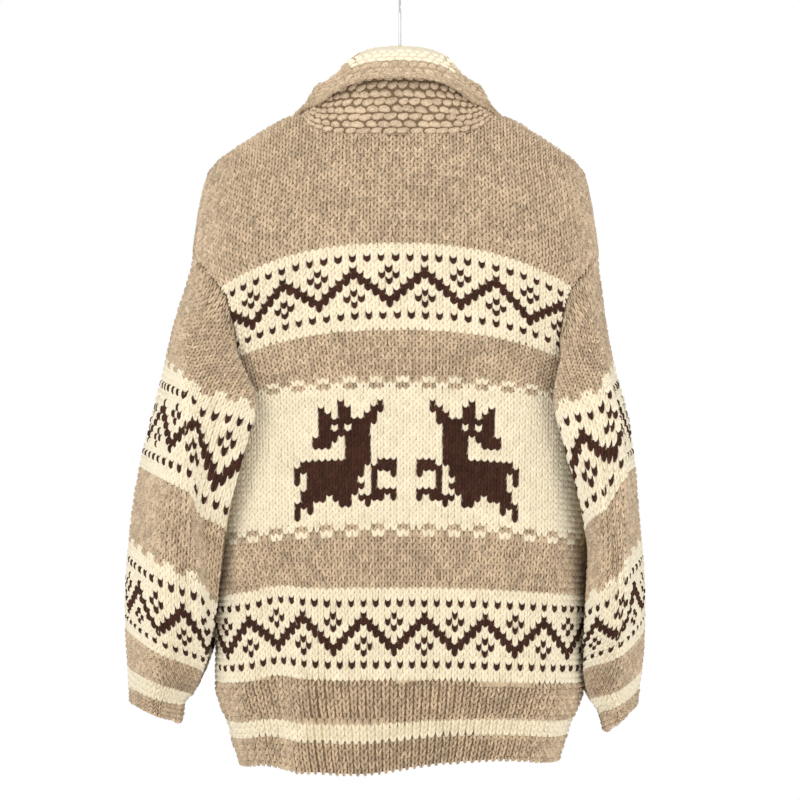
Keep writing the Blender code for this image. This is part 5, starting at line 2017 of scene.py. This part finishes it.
class CARDIGAN_OT_sleeves(bpy.types.Operator):
    """Knit both sleeves with their cuffs"""

    bl_idname = "cardigan.sleeves"
    bl_label = "Knit the sleeves"

    def execute(self, context):
        sizes = context.scene.cardigan_sizes
        yarns, lining = knit_wools(sizes)
        backs, fronts = cut_panels()
        for hand, name, sections, area in (
            (-1, "left_sleeve", LEFT_SLEEVE, 0.205), (1, "right_sleeve", RIGHT_SLEEVE, 0.183)
        ):
            rings = armhole_ring(((-1, backs[hand]), (1, fronts[hand])), hand)
            wall = sleeve_wall(f"{name}_cloth", sections, hand, rings, lining)
            knit = sleeve_stitches(sections, hand, rings, sizes.stitch_seed + 5 + hand)
            stitches = mesh_piece(f"{name}_stitches", knit, yarns)
            declare(name)
        return {"FINISHED"}


class CARDIGAN_OT_collar(bpy.types.Operator):
    """Knit the shawl collar in garter stitch"""

    bl_idname = "cardigan.collar"
    bl_label = "Knit the collar"

    def execute(self, context):
        sizes = context.scene.cardigan_sizes
        backs, fronts = cut_panels()
        grid, normal, seams, reaches = collar_lines(backs, fronts)
        yarns, lining = knit_wools(sizes)
        wall = collar_wall("collar_cloth", grid, normal, seams, reaches, lining)
        knit = collar_stitches(grid, normal, reaches, sizes.stitch_seed + 9)
        stitches = mesh_piece("collar_stitches", knit, yarns)
        declare("collar")
        return {"FINISHED"}


class CARDIGAN_OT_bands(bpy.types.Operator):
    """Knit the two ribbed bands of the front opening"""

    bl_idname = "cardigan.bands"
    bl_label = "Knit the front bands"

    def execute(self, context):
        sizes = context.scene.cardigan_sizes
        yarns, lining = knit_wools(sizes)
        inner = BAND_HALF_WIDTH - SEAM_GAP
        for name, first, last, lift, ribs, flat in (
            ("button_band", -inner, inner, -1.0, 4, (0.043, 0.53)),
            ("buttonhole_band", -BAND_HALF_WIDTH, OUTER_BAND_EDGE, BAND_LIFT, 5, (0.052, 0.53)),
        ):
            wall, stitches = band_pieces(
                name, first, last, lift, ribs, yarns, lining, sizes.stitch_seed + 11
            )
            declare(name)
        return {"FINISHED"}


class CARDIGAN_OT_buttons(bpy.types.Operator):
    """Turn the buttons and sew them on"""

    bl_idname = "cardigan.buttons"
    bl_label = "Make the buttons"

    def execute(self, context):
        horn = existing("horn", lambda: grained_material(
            "horn", (0.075, 0.034, 0.018, 1), (0.02, 0.009, 0.005, 1), (1, 1, 4), 0.42, 0.05
        ))
        thread = wools(context.scene.cardigan_sizes)[0]
        for number, z in enumerate(button_heights(), 1):
            horn_button(f"button_{number}", float(z), horn, thread)
        return {"FINISHED"}


class CARDIGAN_OT_hanger(bpy.types.Operator):
    """Shape the wooden hanger and its wire hook"""

    bl_idname = "cardigan.hanger"
    bl_label = "Make the hanger"

    def execute(self, context):
        backs, _ = cut_panels()
        beech = existing("beech", lambda: grained_material(
            "beech", (0.62, 0.42, 0.24, 1), (0.45, 0.28, 0.14, 1), (0.25, 3, 3), 0.45, 0.25
        ))
        steel = existing("steel_wire", lambda: grained_material(
            "steel_wire", (0.62, 0.62, 0.62, 1), (0.5, 0.5, 0.5, 1), (4, 4, 0.5), 0.25, 0.0, 1.0
        ))
        bar = hanger_bar("hanger_bar", backs[1], beech)
        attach(bar, "root")
        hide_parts("hanger")
        hook = wire("hook_wire", hook_points(), HOOK_WIRE_RADIUS, steel, 5)
        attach(hook, "root")
        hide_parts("hook")
        return {"FINISHED"}


class CARDIGAN_OT_stage(bpy.types.Operator):
    """Set up the floor, the light and the camera"""

    bl_idname = "cardigan.stage"
    bl_label = "Set up the stage"

    def execute(self, context):
        drop = context.scene.cardigan_sizes.floor_drop
        bpy.ops.object.select_all(action="DESELECT")
        bpy.ops.mesh.primitive_circle_add(
            vertices=96, radius=2.4, fill_type="NGON", location=(0, 0, -drop)
        )
        floor = bpy.context.object
        floor.name = "floor"
        floor.data.materials.append(plain_material("pale_floor", (0.86, 0.86, 0.85, 1), 0.8))
        for name, place, turn, size, power in (
            ("key", (-1.7, -2.3, 0.7), (58, 0, -36), 1.5, 34),
            ("fill", (1.9, -2.2, -0.6), (92, 0, 41), 1.8, 20),
            ("rear", (0.6, 2.6, 0.6), (-62, 0, 12), 2.0, 40),
        ):
            bpy.ops.object.select_all(action="DESELECT")
            angles = [math.radians(angle) for angle in turn]
            bpy.ops.object.light_add(type="AREA", location=place, rotation=angles)
            light = bpy.context.object
            light.name = name
            light.data.size = size
            light.data.energy = power
        bpy.ops.object.select_all(action="DESELECT")
        bpy.ops.object.camera_add(location=(0, -2.6, -0.476), rotation=(math.pi / 2, 0, 0))
        camera = bpy.context.object
        camera.name = "camera"
        camera.data.lens = 105.4
        camera.data.sensor_width = 36
        camera.data.clip_end = 50
        context.scene.camera = camera
        world = bpy.data.worlds.new("pale_room")
        world.use_nodes = True
        background = world.node_tree.nodes["Background"]
        background.inputs["Color"].default_value = (1.0, 1.0, 1.0, 1)
        background.inputs["Strength"].default_value = 1.0
        context.scene.world = world
        context.scene.view_settings.view_transform = "Standard"
        return {"FINISHED"}


class CARDIGAN_PT_panel(bpy.types.Panel):
    """Sizes, colours and steps of the cardigan"""

    bl_idname = "CARDIGAN_PT_panel"
    bl_label = "Cardigan"
    bl_space_type = "VIEW_3D"
    bl_region_type = "UI"
    bl_category = "Cardigan"

    def draw(self, context):
        sizes = context.scene.cardigan_sizes
        for name in ("stitch_seed", "floor_drop", "heather", "cream", "dark"):
            self.layout.prop(sizes, name)
        for step in STEPS:
            self.layout.operator(step.bl_idname)


STEPS = (
    CARDIGAN_OT_panels, CARDIGAN_OT_sleeves, CARDIGAN_OT_collar, CARDIGAN_OT_bands,
    CARDIGAN_OT_buttons, CARDIGAN_OT_hanger, CARDIGAN_OT_stage,
)
CLASSES = (CardiganSizes, *STEPS, CARDIGAN_PT_panel)


def register():
    for item in CLASSES:
        bpy.utils.register_class(item)
    bpy.types.Scene.cardigan_sizes = PointerProperty(type=CardiganSizes)


def unregister():
    del bpy.types.Scene.cardigan_sizes
    for item in reversed(CLASSES):
        bpy.utils.unregister_class(item)


def main():
    register()
    bpy.ops.cardigan.panels()
    bpy.ops.cardigan.sleeves()
    bpy.ops.cardigan.collar()
    bpy.ops.cardigan.bands()
    bpy.ops.cardigan.buttons()
    bpy.ops.cardigan.hanger()
    bpy.ops.cardigan.stage()


if __name__ == "__main__":
    main()
